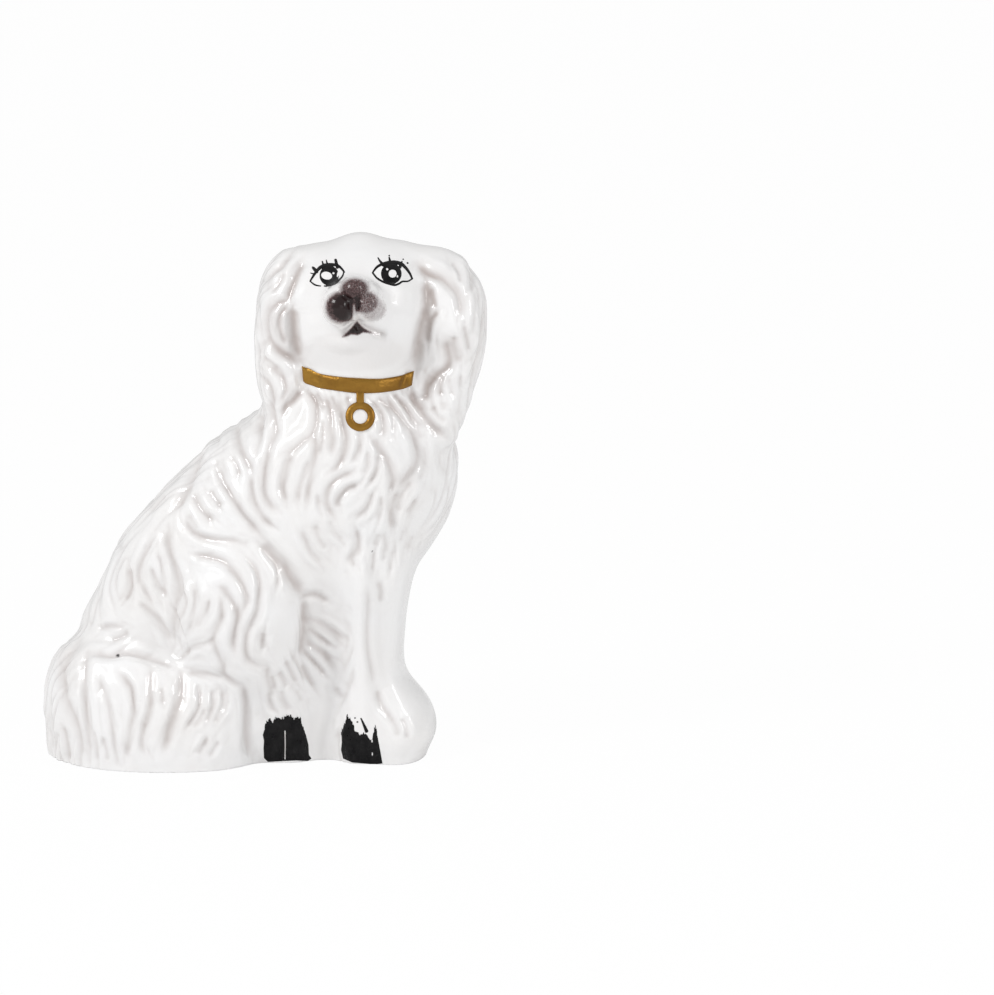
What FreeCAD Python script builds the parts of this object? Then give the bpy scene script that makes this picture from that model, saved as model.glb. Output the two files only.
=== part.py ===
"""Seated spaniel mantel figure: a hollow white-glazed earthenware dog with a gilt collar and locket.

The dog sits along X with its chest towards +X, and turns its face to the viewer, who stands at -Y.
Its body and head are pressed in two halves, which meet in an upright seam, and a slab with a vent
hole closes the foot. Ears, tail, forelegs and hind paw are pressed apart and luted on with slip.
Eyes, muzzle and toes are thin layers of enamel, and the collar and locket are gilt relief.
Right and left are the dog's own. Millimetres, +Z up, origin under the middle of the figure.
"""
import FreeCAD
import Part
import math
import os
from FreeCAD import Vector

# The whole figure.
figure_height = 305.0
figure_width = 257.0
figure_depth = 118.0

# The pressed clay, and the plane where its two halves meet.
wall = 6.0
crown_wall = 9.0
seam_y = 0.0

# The slab that closes the foot, and its vent hole.
slab_thickness = 5.0
slab_recess = 2.0
vent_radius = 5.0

# The collar runs round the front of the neck and ends under the ears.
collar_bottom_share = 0.7148
collar_height = 10.0
collar_thickness = 1.6
collar_end_y = 4.0

# The locket hangs from the collar's middle and lies on the chest.
locket_middle_share = 0.2156
locket_radius = 8.9
locket_hole_radius = 4.6
locket_thickness = 1.8
locket_stem_width = 5.0
locket_stem_length = 4.0
locket_tilt_deg = 16.0

# The enamel stands this far over the glaze.
enamel_thickness = 0.6

# How far a cutting block runs past what it cuts, and how near two facets' corners count as one.
overrun = 20.0
weld_distance = 0.001

# Corners round a ring, and rings laid between two rows of a table.
BODY_CORNERS = 30
CAVITY_CORNERS = 20
LIMB_CORNERS = 18
RINGS_PER_ROW = 2
BLOB_CORNERS = 14
BLOB_RINGS = 6

# Each row is a level ring: its height as a share of the figure's, its left and right sides as
# shares of the width, its front and back as shares of the depth, and how square it is.
BODY_SHARES = (
    (0.000, -0.405, 0.275, -0.240, 0.407, 2.9),
    (0.050, -0.412, 0.276, -0.252, 0.424, 2.8),
    (0.130, -0.420, 0.268, -0.278, 0.441, 2.6),
    (0.230, -0.418, 0.268, -0.318, 0.458, 2.4),
    (0.295, -0.383, 0.285, -0.348, 0.466, 2.3),
    (0.345, -0.354, 0.334, -0.376, 0.466, 2.2),
    (0.393, -0.331, 0.375, -0.402, 0.458, 2.2),
    (0.443, -0.290, 0.408, -0.420, 0.449, 2.2),
    (0.498, -0.232, 0.430, -0.430, 0.432, 2.2),
    (0.544, -0.173, 0.437, -0.428, 0.415, 2.1),
    (0.590, -0.127, 0.430, -0.420, 0.390, 2.1),
    (0.630, -0.058, 0.416, -0.405, 0.364, 2.1),
    (0.666, 0.008, 0.389, -0.380, 0.339, 2.1),
    (0.702, 0.054, 0.362, -0.345, 0.305, 2.1),
    (0.734, 0.078, 0.346, -0.325, 0.288, 2.2),
    (0.774, 0.074, 0.356, -0.350, 0.297, 2.4),
    (0.820, 0.068, 0.366, -0.390, 0.314, 2.5),
    (0.872, 0.066, 0.370, -0.415, 0.322, 2.5),
    (0.918, 0.078, 0.358, -0.381, 0.297, 2.4),
    (0.952, 0.105, 0.331, -0.305, 0.229, 2.2),
    (0.978, 0.144, 0.292, -0.195, 0.136, 2.1),
    (1.000, 0.198, 0.240, -0.060, 0.030, 2.0),
)
RIGHT_HAUNCH_SHARES = (
    (0.110, -0.085, 0.020, -0.330, -0.170, 2.0),
    (0.150, -0.135, 0.052, -0.400, -0.120, 2.1),
    (0.190, -0.170, 0.072, -0.452, -0.085, 2.1),
    (0.240, -0.195, 0.086, -0.490, 0.000, 2.2),
    (0.295, -0.210, 0.093, -0.508, 0.000, 2.2),
    (0.354, -0.195, 0.082, -0.492, 0.000, 2.2),
    (0.400, -0.156, 0.047, -0.449, -0.042, 2.1),
    (0.439, -0.093, -0.008, -0.398, -0.127, 2.0),
)
LEFT_HAUNCH_SHARES = (
    (0.040, -0.140, 0.040, 0.100, 0.390, 2.0),
    (0.100, -0.200, 0.090, 0.000, 0.452, 2.2),
    (0.180, -0.225, 0.110, 0.000, 0.482, 2.2),
    (0.270, -0.220, 0.105, 0.000, 0.490, 2.2),
    (0.350, -0.190, 0.080, 0.000, 0.480, 2.2),
    (0.420, -0.130, 0.020, 0.060, 0.440, 2.0),
)
RIGHT_HIND_PAW_SHARES = (
    (0.000, -0.029, 0.110, -0.280, 0.000, 2.8),
    (0.038, -0.034, 0.111, -0.312, 0.000, 2.7),
    (0.080, -0.036, 0.109, -0.330, 0.000, 2.5),
    (0.125, -0.040, 0.104, -0.358, 0.000, 2.3),
    (0.170, -0.040, 0.096, -0.394, 0.000, 2.2),
    (0.215, -0.030, 0.080, -0.420, -0.050, 2.1),
)
RIGHT_FORELEG_SHARES = (
    (0.000, 0.167, 0.270, -0.305, 0.042, 2.4),
    (0.033, 0.161, 0.276, -0.335, 0.042, 2.4),
    (0.072, 0.163, 0.274, -0.345, 0.042, 2.3),
    (0.112, 0.176, 0.266, -0.338, 0.042, 2.2),
    (0.157, 0.180, 0.261, -0.332, 0.042, 2.2),
    (0.216, 0.178, 0.260, -0.338, 0.042, 2.2),
    (0.275, 0.174, 0.262, -0.356, 0.042, 2.2),
    (0.341, 0.168, 0.266, -0.390, 0.042, 2.2),
    (0.380, 0.170, 0.264, -0.398, 0.042, 2.2),
    (0.430, 0.185, 0.250, -0.370, 0.000, 2.1),
)
LEFT_FORELEG_SHARES = (
    (0.000, 0.212, 0.362, -0.328, 0.288, 2.2),
    (0.038, 0.208, 0.386, -0.352, 0.322, 2.2),
    (0.072, 0.212, 0.384, -0.342, 0.314, 2.2),
    (0.105, 0.220, 0.364, -0.310, 0.280, 2.2),
    (0.138, 0.228, 0.330, -0.282, 0.254, 2.2),
    (0.170, 0.230, 0.312, -0.272, 0.250, 2.2),
    (0.216, 0.232, 0.315, -0.276, 0.258, 2.2),
    (0.275, 0.226, 0.321, -0.296, 0.280, 2.2),
    (0.334, 0.218, 0.334, -0.322, 0.314, 2.2),
    (0.380, 0.218, 0.346, -0.330, 0.320, 2.2),
    (0.440, 0.225, 0.345, -0.270, 0.260, 2.1),
)
RIGHT_EAR_SHARES = (
    (0.640, 0.014, 0.056, -0.262, -0.130, 2.0),
    (0.664, 0.008, 0.084, -0.300, 0.010, 2.0),
    (0.700, -0.006, 0.099, -0.300, 0.100, 2.1),
    (0.748, -0.016, 0.103, -0.270, 0.150, 2.2),
    (0.803, -0.016, 0.104, -0.262, 0.186, 2.2),
    (0.852, -0.014, 0.110, -0.270, 0.203, 2.2),
    (0.892, -0.006, 0.118, -0.245, 0.203, 2.2),
    (0.925, 0.008, 0.128, -0.210, 0.178, 2.1),
    (0.953, 0.031, 0.144, -0.152, 0.127, 2.0),
    (0.971, 0.064, 0.158, -0.076, 0.068, 2.0),
)
LEFT_EAR_SHARES = (
    (0.608, 0.397, 0.432, -0.240, -0.120, 2.0),
    (0.636, 0.370, 0.442, -0.280, 0.000, 2.0),
    (0.676, 0.346, 0.460, -0.295, 0.100, 2.1),
    (0.728, 0.340, 0.483, -0.275, 0.150, 2.2),
    (0.787, 0.340, 0.500, -0.268, 0.186, 2.2),
    (0.839, 0.342, 0.500, -0.288, 0.203, 2.2),
    (0.885, 0.335, 0.494, -0.262, 0.203, 2.2),
    (0.922, 0.319, 0.471, -0.220, 0.178, 2.1),
    (0.953, 0.300, 0.442, -0.152, 0.127, 2.0),
    (0.971, 0.280, 0.406, -0.076, 0.068, 2.0),
)

# The tail lies round the foot. Each row is a ring across it: its middle's place as shares of the
# width and depth, its half width as a share of the width, and its top as a share of the height.
TAIL_SHARES = (
    (-0.300, 0.373, 0.045, 0.140),
    (-0.376, 0.250, 0.068, 0.188),
    (-0.412, 0.040, 0.086, 0.218),
    (-0.390, -0.160, 0.085, 0.223),
    (-0.322, -0.288, 0.082, 0.217),
    (-0.226, -0.330, 0.082, 0.200),
    (-0.132, -0.309, 0.078, 0.180),
    (-0.085, -0.268, 0.066, 0.166),
    (-0.055, -0.232, 0.052, 0.155),
    (-0.037, -0.208, 0.038, 0.145),
)
TAIL_SQUARENESS = 2.15
TAIL_MIDDLE_SHARE = 0.34

# The muzzle's swellings: middles, then half sizes, as shares of the width, depth and height.
MUZZLE_SHARES = (
    (0.202, -0.350, 0.889, 0.062, 0.160, 0.052),
    (0.206, -0.462, 0.914, 0.038, 0.074, 0.028),
    (0.174, -0.436, 0.895, 0.038, 0.090, 0.034),
    (0.231, -0.436, 0.902, 0.038, 0.090, 0.034),
    (0.208, -0.390, 0.862, 0.052, 0.085, 0.028),
)

# Enamel patches: a middle and a width as shares of the figure's width, then a middle and a height
# as shares of its height.
RIGHT_EYE_SHARES = (0.1424, 0.0732, 0.9443, 0.0393)
LEFT_EYE_SHARES = (0.2872, 0.0856, 0.9443, 0.0393)
MUZZLE_TINT_SHARES = (0.2020, 0.1167, 0.8890, 0.0984)
HIND_TOES_SHARES = (0.0467, 0.1031, 0.0443, 0.0885)
FORE_TOES_SHARES = (0.2179, 0.0934, 0.0443, 0.0885)


def eased_rows(rows):
    """The rows of a table with others between them, on cubics through their neighbours."""
    eased = []
    last = len(rows) - 1
    for i in range(last):
        before, low, high, after = rows[max(i - 1, 0)], rows[i], rows[i + 1], rows[min(i + 2, last)]
        for k in range(RINGS_PER_ROW):
            t = k / RINGS_PER_ROW
            eased.append([eased_value(*four, t) for four in zip(before, low, high, after)])
    eased.append(list(rows[last]))
    return eased


def eased_value(before, low, high, after, t):
    leaving, arriving = (high - before) / 2, (after - low) / 2
    bend = 3 * (high - low) - 2 * leaving - arriving
    twist = 2 * (low - high) + leaving + arriving
    return low + leaving * t + bend * t ** 2 + twist * t ** 3


def rounded(corner, corners, squareness):
    """Place of one corner on a rounded square that fits a square of half size 1."""
    angle = 2 * math.pi * corner / corners
    across, along = math.cos(angle), math.sin(angle)
    power = 2 / squareness
    return math.copysign(abs(across) ** power, across), math.copysign(abs(along) ** power, along)


def skin(rings):
    """Closed solid with flat facets over a stack of rings that have equally many corners."""
    corners = len(rings[0])
    points = [point for ring in rings for point in ring]
    last = len(points) - corners
    facets = []
    for low in range(0, last, corners):
        for i in range(corners):
            j = (i + 1) % corners
            facets.append((low + i, low + j, low + corners + j))
            facets.append((low + i, low + corners + j, low + corners + i))
    for i in range(1, corners - 1):
        facets.append((0, i + 1, i))
        facets.append((last, last + i, last + i + 1))
    shell = Part.Shape()
    shell.makeShapeFromMesh((points, facets), weld_distance)
    solid = Part.Solid(shell)
    if solid.Volume < 0:
        solid.reverse()
    return solid


def level_form(rows, corners, grow=0.0):
    """A solid through level rings, each one swollen sideways by grow."""
    rings = []
    for height, left, right, front, back, squareness in rows:
        middle_x = (left + right) / 2 * figure_width
        middle_y = (front + back) / 2 * figure_depth
        half_x = (right - left) / 2 * figure_width + grow
        half_y = (back - front) / 2 * figure_depth + grow
        ring = []
        for i in range(corners):
            x, y = rounded(i, corners, squareness)
            ring.append(Vector(middle_x + half_x * x, middle_y + half_y * y, height * figure_height))
        rings.append(ring)
    return skin(rings)


def blob(shares, grow=0.0):
    """A faceted ellipsoid."""
    sizes = (figure_width, figure_depth, figure_height) * 2
    x, y, z, half_x, half_y, half_z = (share * size for share, size in zip(shares, sizes))
    rings = []
    for k in range(BLOB_RINGS):
        tilt = math.pi * ((k + 0.5) / BLOB_RINGS - 0.5)
        level = z + (half_z + grow) * math.sin(tilt) / math.cos(math.pi / 2 / BLOB_RINGS)
        ring = []
        for i in range(BLOB_CORNERS):
            across, along = rounded(i, BLOB_CORNERS, 2)
            wide, deep = across * math.cos(tilt), along * math.cos(tilt)
            ring.append(Vector(x + wide * (half_x + grow), y + deep * (half_y + grow), level))
        rings.append(ring)
    return skin(rings)


def tail_form():
    """A brush on a spine round the rump, cut flat where it stands."""
    rows = eased_rows(TAIL_SHARES)
    spine = [Vector(row[0] * figure_width, row[1] * figure_depth, 0) for row in rows]
    rings = []
    for i, (_, _, half_width, top) in enumerate(rows):
        along = spine[min(i + 1, len(spine) - 1)] - spine[max(i - 1, 0)]
        side = Vector(along.y, -along.x, 0).normalize()
        top_z = top * figure_height
        middle_z = top_z * TAIL_MIDDLE_SHARE
        ring = []
        for corner in range(LIMB_CORNERS):
            out, up = rounded(corner, LIMB_CORNERS, TAIL_SQUARENESS)
            level = middle_z + up * (top_z - middle_z)
            ring.append(spine[i] + side * (out * half_width * figure_width) + Vector(0, 0, level))
        rings.append(ring)
    return skin(rings).common(block_over(0, figure_height))


def block_over(low_z, high_z, front_y=None, back_y=None):
    """A block wider than the figure, between two levels and, where given, a front and a back."""
    front_y = -figure_depth if front_y is None else front_y
    back_y = figure_depth if back_y is None else back_y
    corner = Vector(-figure_width, front_y, low_z)
    return Part.makeBox(2 * figure_width, back_y - front_y, high_z - low_z, corner)


def largest(shape):
    """The one solid that is left of a luted piece once its neighbours are cut from it."""
    return max(shape.Solids, key=lambda solid: solid.Volume)


def cavity_form():
    """The hollow of the pressed halves, from the foot up to under the crown."""
    top = 1 - crown_wall / figure_height
    rows = [row for row in BODY_SHARES if row[0] < top]
    return level_form(rows, CAVITY_CORNERS, -wall)


def patch(shares):
    """The middle x, width, middle z and height of a patch of enamel."""
    x, width, z, height = shares
    return x * figure_width, width * figure_width, z * figure_height, height * figure_height


def front_of(solid, x, z):
    """The y at which a solid's skin meets the viewer's line of sight at x and z."""
    ray = Part.makeLine(Vector(x, -figure_depth, z), Vector(x, seam_y, z))
    return ray.common(solid).BoundBox.YMin


def make_collar(body, ears):
    """A band on the neck that fades out under the ears."""
    bottom = collar_bottom_share * figure_height
    band = level_form(eased_rows(BODY_SHARES), BODY_CORNERS, collar_thickness)
    reach = block_over(bottom, bottom + collar_height, back_y=collar_end_y)
    return largest(band.common(reach).cut([body, *ears]))


def make_locket(body, collar):
    """A pierced disc on a short stem, tilted to lie on the chest under the collar."""
    x = locket_middle_share * figure_width
    z = collar_bottom_share * figure_height - locket_stem_length - locket_radius
    middle = Vector(x, front_of(body, x, z), z)
    tilt = FreeCAD.Rotation(Vector(1, 0, 0), -locket_tilt_deg)
    outward = tilt.multVec(Vector(0, -1, 0))
    root, depth = middle - outward * wall, wall + locket_thickness
    disc = Part.makeCylinder(locket_radius, depth, root, outward)
    hole = Part.makeCylinder(locket_hole_radius, depth, root, outward)
    stem_height = locket_radius + locket_stem_length + collar_height / 2
    stem = Part.makeBox(locket_stem_width, depth, stem_height)
    stem.rotate(Vector(0, 0, 0), Vector(1, 0, 0), -locket_tilt_deg)
    stem.translate(root + outward * depth - Vector(locket_stem_width / 2, 0, 0))
    return largest(disc.fuse(stem).cut([hole, body, collar]))


def make_eye(body, raised, shares):
    """A thin almond of enamel on the face, up to the raised skin."""
    x, width, z, height = patch(shares)
    left, right = Vector(x - width / 2, -figure_depth, z), Vector(x + width / 2, -figure_depth, z)
    upper = Part.Arc(left, Vector(x, -figure_depth, z + height / 2), right).toShape()
    lower = Part.Arc(right, Vector(x, -figure_depth, z - height / 2), left).toShape()
    sight = Part.Face(Part.Wire([upper, lower])).extrude(Vector(0, figure_depth + seam_y, 0))
    return largest(sight.common(raised).cut(body))


def make_muzzle_tint(body):
    """The tinted skin over the nose and lips."""
    x, width, z, height = patch(MUZZLE_TINT_SHARES)
    outline = []
    for i in range(LIMB_CORNERS + 1):
        across, up = rounded(i, LIMB_CORNERS, 2)
        outline.append(Vector(x + across * width / 2, -figure_depth, z + up * height / 2))
    sight = Part.Face(Part.makePolygon(outline)).extrude(Vector(0, figure_depth + seam_y, 0))
    raised = [blob(shares, enamel_thickness) for shares in MUZZLE_SHARES]
    return largest(sight.common(raised[0].multiFuse(raised[1:])).cut(body))


def make_toes(rows, neighbours, shares):
    """The black patch on a paw, from the foot up."""
    x, width, z, height = patch(shares)
    corner = Vector(x - width / 2, -figure_depth, z - height / 2)
    sight = Part.makeBox(width, figure_depth + seam_y, height, corner)
    raised = level_form(eased_rows(rows), LIMB_CORNERS, enamel_thickness)
    return largest(sight.common(raised).cut(neighbours))


def make_parts():
    """Every piece of the figure by its name, each cut so that it meets its neighbours face to face."""
    trunk = level_form(eased_rows(BODY_SHARES), BODY_CORNERS)
    haunch_tables = (RIGHT_HAUNCH_SHARES, LEFT_HAUNCH_SHARES)
    haunches = [level_form(eased_rows(rows), LIMB_CORNERS) for rows in haunch_tables]
    muzzle = [blob(shares) for shares in MUZZLE_SHARES]
    body = trunk.multiFuse(haunches + muzzle)
    cavity = cavity_form()
    pressed = body.cut(cavity)
    front = largest(pressed.common(block_over(0, figure_height + overrun, back_y=seam_y)))
    back = largest(pressed.common(block_over(0, figure_height + overrun, front_y=seam_y)))
    slab = cavity.common(block_over(slab_recess, slab_recess + slab_thickness))
    vent = Part.makeCylinder(vent_radius, slab_thickness + 2 * overrun, Vector(0, 0, -overrun))

    tail = largest(tail_form().cut(body))
    hind_paw = largest(level_form(eased_rows(RIGHT_HIND_PAW_SHARES), LIMB_CORNERS).cut([body, tail]))
    right_foreleg = largest(level_form(eased_rows(RIGHT_FORELEG_SHARES), LIMB_CORNERS).cut(body))
    left_foreleg = level_form(eased_rows(LEFT_FORELEG_SHARES), LIMB_CORNERS)
    left_foreleg = largest(left_foreleg.cut([body, right_foreleg]))
    right_ear = largest(level_form(eased_rows(RIGHT_EAR_SHARES), LIMB_CORNERS).cut(body))
    left_ear = largest(level_form(eased_rows(LEFT_EAR_SHARES), LIMB_CORNERS).cut(body))
    collar = make_collar(body, [right_ear, left_ear])
    raised = level_form(eased_rows(BODY_SHARES), BODY_CORNERS, enamel_thickness)
    hind_toes = make_toes(RIGHT_HIND_PAW_SHARES, [body, tail, hind_paw], HIND_TOES_SHARES)
    forelegs = [right_foreleg, left_foreleg]
    fore_toes = make_toes(RIGHT_FORELEG_SHARES, [body, *forelegs], FORE_TOES_SHARES)
    return {
        "front_shell": front,
        "back_shell": back,
        "base_slab": slab.cut(vent),
        "right_ear": right_ear,
        "left_ear": left_ear,
        "tail": tail,
        "right_hind_paw": hind_paw,
        "right_foreleg": right_foreleg,
        "left_foreleg": left_foreleg,
        "collar": collar,
        "locket": make_locket(body, collar),
        "right_eye": make_eye(body, raised, RIGHT_EYE_SHARES),
        "left_eye": make_eye(body, raised, LEFT_EYE_SHARES),
        "muzzle_tint": make_muzzle_tint(body),
        "hind_toe_enamel": hind_toes,
        "fore_toe_enamel": fore_toes,
    }


def export(parts):
    """Moves the figure's middle over the origin and writes one file for each piece."""
    os.makedirs("parts", exist_ok=True)
    box = Part.makeCompound(list(parts.values())).BoundBox
    to_origin = Vector(-box.Center.x, -box.Center.y, -box.ZMin)
    for name, shape in parts.items():
        shape.translate(to_origin)
        print(name, shape.isValid(), len(shape.Solids), round(shape.Volume), len(shape.Faces))
        shape.exportStep(f"parts/{name}.step")
    print("moved by", to_origin, "size", box.XLength, box.YLength, box.ZLength)


export(make_parts())
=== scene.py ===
# %% [markdown]
# # A seated spaniel in white glazed earthenware
# The real figure is slip pressed in plaster moulds, luted together, dipped in a milky glaze and then
# painted with black enamel, a brown tint on the muzzle and gilding on the collar. One wet glaze runs
# over every joint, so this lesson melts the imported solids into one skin, smooths it, carves the hair
# into it with strokes, and only then parts it into the figure's own pieces again.

# %% The fixed frame
import math

import bmesh
import bpy
import numpy as np
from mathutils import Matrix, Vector
from mathutils.bvhtree import BVHTree


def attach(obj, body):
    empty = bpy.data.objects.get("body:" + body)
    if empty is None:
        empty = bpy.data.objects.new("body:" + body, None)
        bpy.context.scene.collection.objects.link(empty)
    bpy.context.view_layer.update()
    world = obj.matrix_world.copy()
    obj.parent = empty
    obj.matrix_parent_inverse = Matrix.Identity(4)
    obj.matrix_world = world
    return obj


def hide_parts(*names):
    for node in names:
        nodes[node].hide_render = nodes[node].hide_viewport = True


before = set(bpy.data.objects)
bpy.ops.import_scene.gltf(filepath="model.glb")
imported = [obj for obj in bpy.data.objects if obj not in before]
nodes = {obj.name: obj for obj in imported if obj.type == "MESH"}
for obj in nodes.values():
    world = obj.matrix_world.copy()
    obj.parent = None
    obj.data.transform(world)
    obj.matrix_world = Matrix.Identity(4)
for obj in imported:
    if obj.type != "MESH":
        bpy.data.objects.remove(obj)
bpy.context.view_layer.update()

print("frame of", len(nodes), "pieces")

# %% [markdown]
# ## Where the viewer stands
# The figure is seen from a little above with a long lens, so the picture is almost a parallel one.
# Hair strokes and enamel are easiest to place where the eye sees them. That is why a helper says where
# a point of the figure falls in the picture, and another where a spot of the picture meets the figure.

# %% Camera
PICTURE_SIZE = 994, 995
PICTURE_MIDDLE = np.array((497.0, 497.5))
PIXEL = 0.000575
SIGHT_RISE = math.radians(12)
SIGHT_DISTANCE = 5.0
AIM = np.array((0.13372, 0.00294, 0.1489))
TOWARD_VIEWER = np.array((0, -math.cos(SIGHT_RISE), math.sin(SIGHT_RISE)))
PICTURE_UP = np.array((0, math.sin(SIGHT_RISE), math.cos(SIGHT_RISE)))
EYE_POINT = AIM + TOWARD_VIEWER * SIGHT_DISTANCE


def sight(points):
    """Where points of the figure fall in the picture, in its pixels."""
    offset = points - AIM
    scale = SIGHT_DISTANCE / PIXEL / (SIGHT_DISTANCE - offset @ TOWARD_VIEWER)
    across, up = offset[..., 0] * scale, offset @ PICTURE_UP * scale
    return np.stack((PICTURE_MIDDLE[0] + across, PICTURE_MIDDLE[1] - up), -1)


def sight_ray(x, y):
    """The direction from the viewer's eye through a spot of the picture."""
    spot = AIM + np.array((1, 0, 0)) * (x - PICTURE_MIDDLE[0]) * PIXEL
    spot = spot + PICTURE_UP * (PICTURE_MIDDLE[1] - y) * PIXEL
    return Vector(spot - EYE_POINT).normalized()


camera = bpy.data.objects.new("viewer", bpy.data.cameras.new("viewer"))
camera.data.sensor_fit = "HORIZONTAL"
camera.data.sensor_width = 36
camera.data.lens = SIGHT_DISTANCE / PIXEL * camera.data.sensor_width / PICTURE_SIZE[0]
camera.location = EYE_POINT
camera.rotation_euler = (math.pi / 2 - SIGHT_RISE, 0, 0)
bpy.context.scene.collection.objects.link(camera)
bpy.context.scene.camera = camera
print("lens", round(camera.data.lens), "mm at", SIGHT_DISTANCE, "m")

# %% [markdown]
# ## One skin over the luted pieces
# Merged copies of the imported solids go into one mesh. Their standing faces are run on below the floor
# for now, so that the foot keeps its edge while the rest is smoothed. A voxel remesh turns the heap
# into one closed skin of even squares. The skin is swollen, remeshed and shrunk again, and that closes
# slits too narrow for a finger, as slip does.

# %% Heap of solids
MM = 0.001
FOOT_RUN = 8 * MM
COARSE_VOXEL = 1.6 * MM
VOXEL = 0.9 * MM
PRESSED = ("front_shell", "back_shell", "right_ear", "left_ear", "tail", "right_hind_paw",
           "right_foreleg", "left_foreleg")


def merged_copy(name):
    copy = bmesh.new()
    copy.from_mesh(nodes[name].data)
    bmesh.ops.remove_doubles(copy, verts=copy.verts, dist=1e-6)
    return copy


def run_below_floor(clay):
    """Extrudes the faces that the figure stands on down below the floor."""
    standing = [face for face in clay.faces if max(corner.co.z for corner in face.verts) < 1e-5]
    run = bmesh.ops.extrude_face_region(clay, geom=standing)["geom"]
    feet = [part for part in run if isinstance(part, bmesh.types.BMVert)]
    bmesh.ops.translate(clay, vec=(0, 0, -FOOT_RUN), verts=feet)


def as_mesh(clay, name):
    mesh = bpy.data.meshes.new(name)
    clay.to_mesh(mesh)
    clay.free()
    return mesh


heap = bmesh.new()
for name in PRESSED:
    clay = merged_copy(name)
    run_below_floor(clay)
    heap.from_mesh(as_mesh(clay, "copy_of_" + name))
slab = merged_copy("base_slab")
bmesh.ops.convex_hull(slab, input=slab.verts)
heap.from_mesh(as_mesh(slab, "copy_of_slab"))
print("heap of", len(heap.faces), "facets")


# %% Remeshing
def applied(mesh, name, **modifiers):
    """A mesh with modifiers applied to it. Each modifier is given as its type and its settings."""
    form = bpy.data.objects.new(name, mesh)
    bpy.context.scene.collection.objects.link(form)
    for kind, settings in modifiers.items():
        modifier = form.modifiers.new(kind, kind)
        for key, value in settings.items():
            setattr(modifier, key, value)
    graph = bpy.context.evaluated_depsgraph_get()
    result = bpy.data.meshes.new_from_object(form.evaluated_get(graph))
    bpy.data.objects.remove(form)
    return result


def corner_array(mesh, source="co"):
    """The corners' places, or their normals, as rows of three numbers."""
    data = np.empty(len(mesh.vertices) * 3, np.float32)
    rows = mesh.vertices if source == "co" else mesh.vertex_normals
    rows.foreach_get("co" if source == "co" else "vector", data)
    return data.reshape(-1, 3).astype(float)


def place_corners(mesh, places):
    mesh.vertices.foreach_set("co", places.astype(np.float32).ravel())
    mesh.update()


CLOSING = 2.8 * MM
coarse = applied(as_mesh(heap, "heap"), "heap", REMESH={"mode": "VOXEL", "voxel_size": COARSE_VOXEL})
place_corners(coarse, corner_array(coarse) + corner_array(coarse, "normal") * CLOSING)
coarse = applied(coarse, "swollen", REMESH={"mode": "VOXEL", "voxel_size": COARSE_VOXEL})
place_corners(coarse, corner_array(coarse) - corner_array(coarse, "normal") * CLOSING)
print("coarse skin of", len(coarse.vertices), "corners")

# %% [markdown]
# ## Softening the facets and filling the creases
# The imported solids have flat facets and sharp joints. Every corner is drawn towards the middle of its
# neighbours many times, and what that takes off a swelling is put back once. Then slip is run into the
# creases: the skin is smoothed again, but a corner moves only where that brings it outwards.

# %% Means over neighbours
class Neighbours:
    """Means over the corners that an edge joins to a corner."""

    def __init__(self, mesh):
        ends = np.empty(len(mesh.edges) * 2, np.int32)
        mesh.edges.foreach_get("vertices", ends)
        self.start, self.end = ends.reshape(-1, 2).T
        self.count = len(mesh.vertices)
        self.number = np.bincount(ends, minlength=self.count).clip(1)

    def mean(self, values):
        columns = values.reshape(self.count, -1).T
        total = [np.bincount(self.start, column[self.end], self.count)
                 + np.bincount(self.end, column[self.start], self.count) for column in columns]
        return (np.array(total) / self.number).T.reshape(values.shape)

    def softened(self, values, passes, share):
        """Values drawn towards their neighbours' mean, by a share that may differ by corner."""
        for _ in range(passes):
            values = values + share * (self.mean(values) - values)
        return values


def ramp(values, start, end):
    """0 before start, 1 after end, and an eased rise between."""
    t = ((values - start) / (end - start)).clip(0, 1)
    return t * t * (3 - 2 * t)


def tree_of(name):
    mesh = nodes[name].data
    return BVHTree.FromPolygons([corner.co.copy() for corner in mesh.vertices],
                                [tuple(face.vertices) for face in mesh.polygons])


slab_tree = tree_of("base_slab")


def away_from_slab(places, reach):
    """How far places are from the slab, which keeps its sharp foot, at most a reach."""
    return np.array([slab_tree.find_nearest(place, reach)[3] or reach for place in places])


def off_centre(spots, x, y, half_width, half_height):
    """How far spots are from the middle of an oval, where 1 is its edge."""
    return np.hypot((spots[:, 0] - x) / half_width, (spots[:, 1] - y) / half_height)


around = Neighbours(coarse)
print("a corner has", round(float(around.number.mean()), 1), "neighbours")

# %% Softening
SOFT_PASSES, SOFT_SHARE = 22, 0.6
places = corner_array(coarse)
share = SOFT_SHARE * ramp(away_from_slab(places, 8 * MM), 1 * MM, 7 * MM)[:, None]
soft = around.softened(places, SOFT_PASSES, share)
soft = soft + around.softened(places - soft, SOFT_PASSES, share)
print("facets softened by up to", round(np.linalg.norm(soft - places, axis=1).max() / MM, 1), "mm")

# %% Slip in the creases
SLIP_ROUNDS, SLIP_PASSES = 4, 20
LEG_TOPS = (372, 600, 52, 95)
LEAST_SLIP = 0.4
HEAD_SPARED, HEAD_FROM, HEAD_TO = 0.78, 0.19, 0.21
leg_tops = off_centre(sight(soft), *LEG_TOPS)
slip = np.maximum(LEAST_SLIP, 1 - ramp(leg_tops, 0.7, 1.2))
slip = slip * (1 - HEAD_SPARED * ramp(soft[:, 2], HEAD_FROM, HEAD_TO))
for _ in range(SLIP_ROUNDS):
    place_corners(coarse, soft)
    outwards = corner_array(coarse, "normal")
    push = ((around.softened(soft, SLIP_PASSES, share) - soft) * outwards).sum(1).clip(0, None)
    soft = soft + outwards * (push * slip)[:, None]

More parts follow.
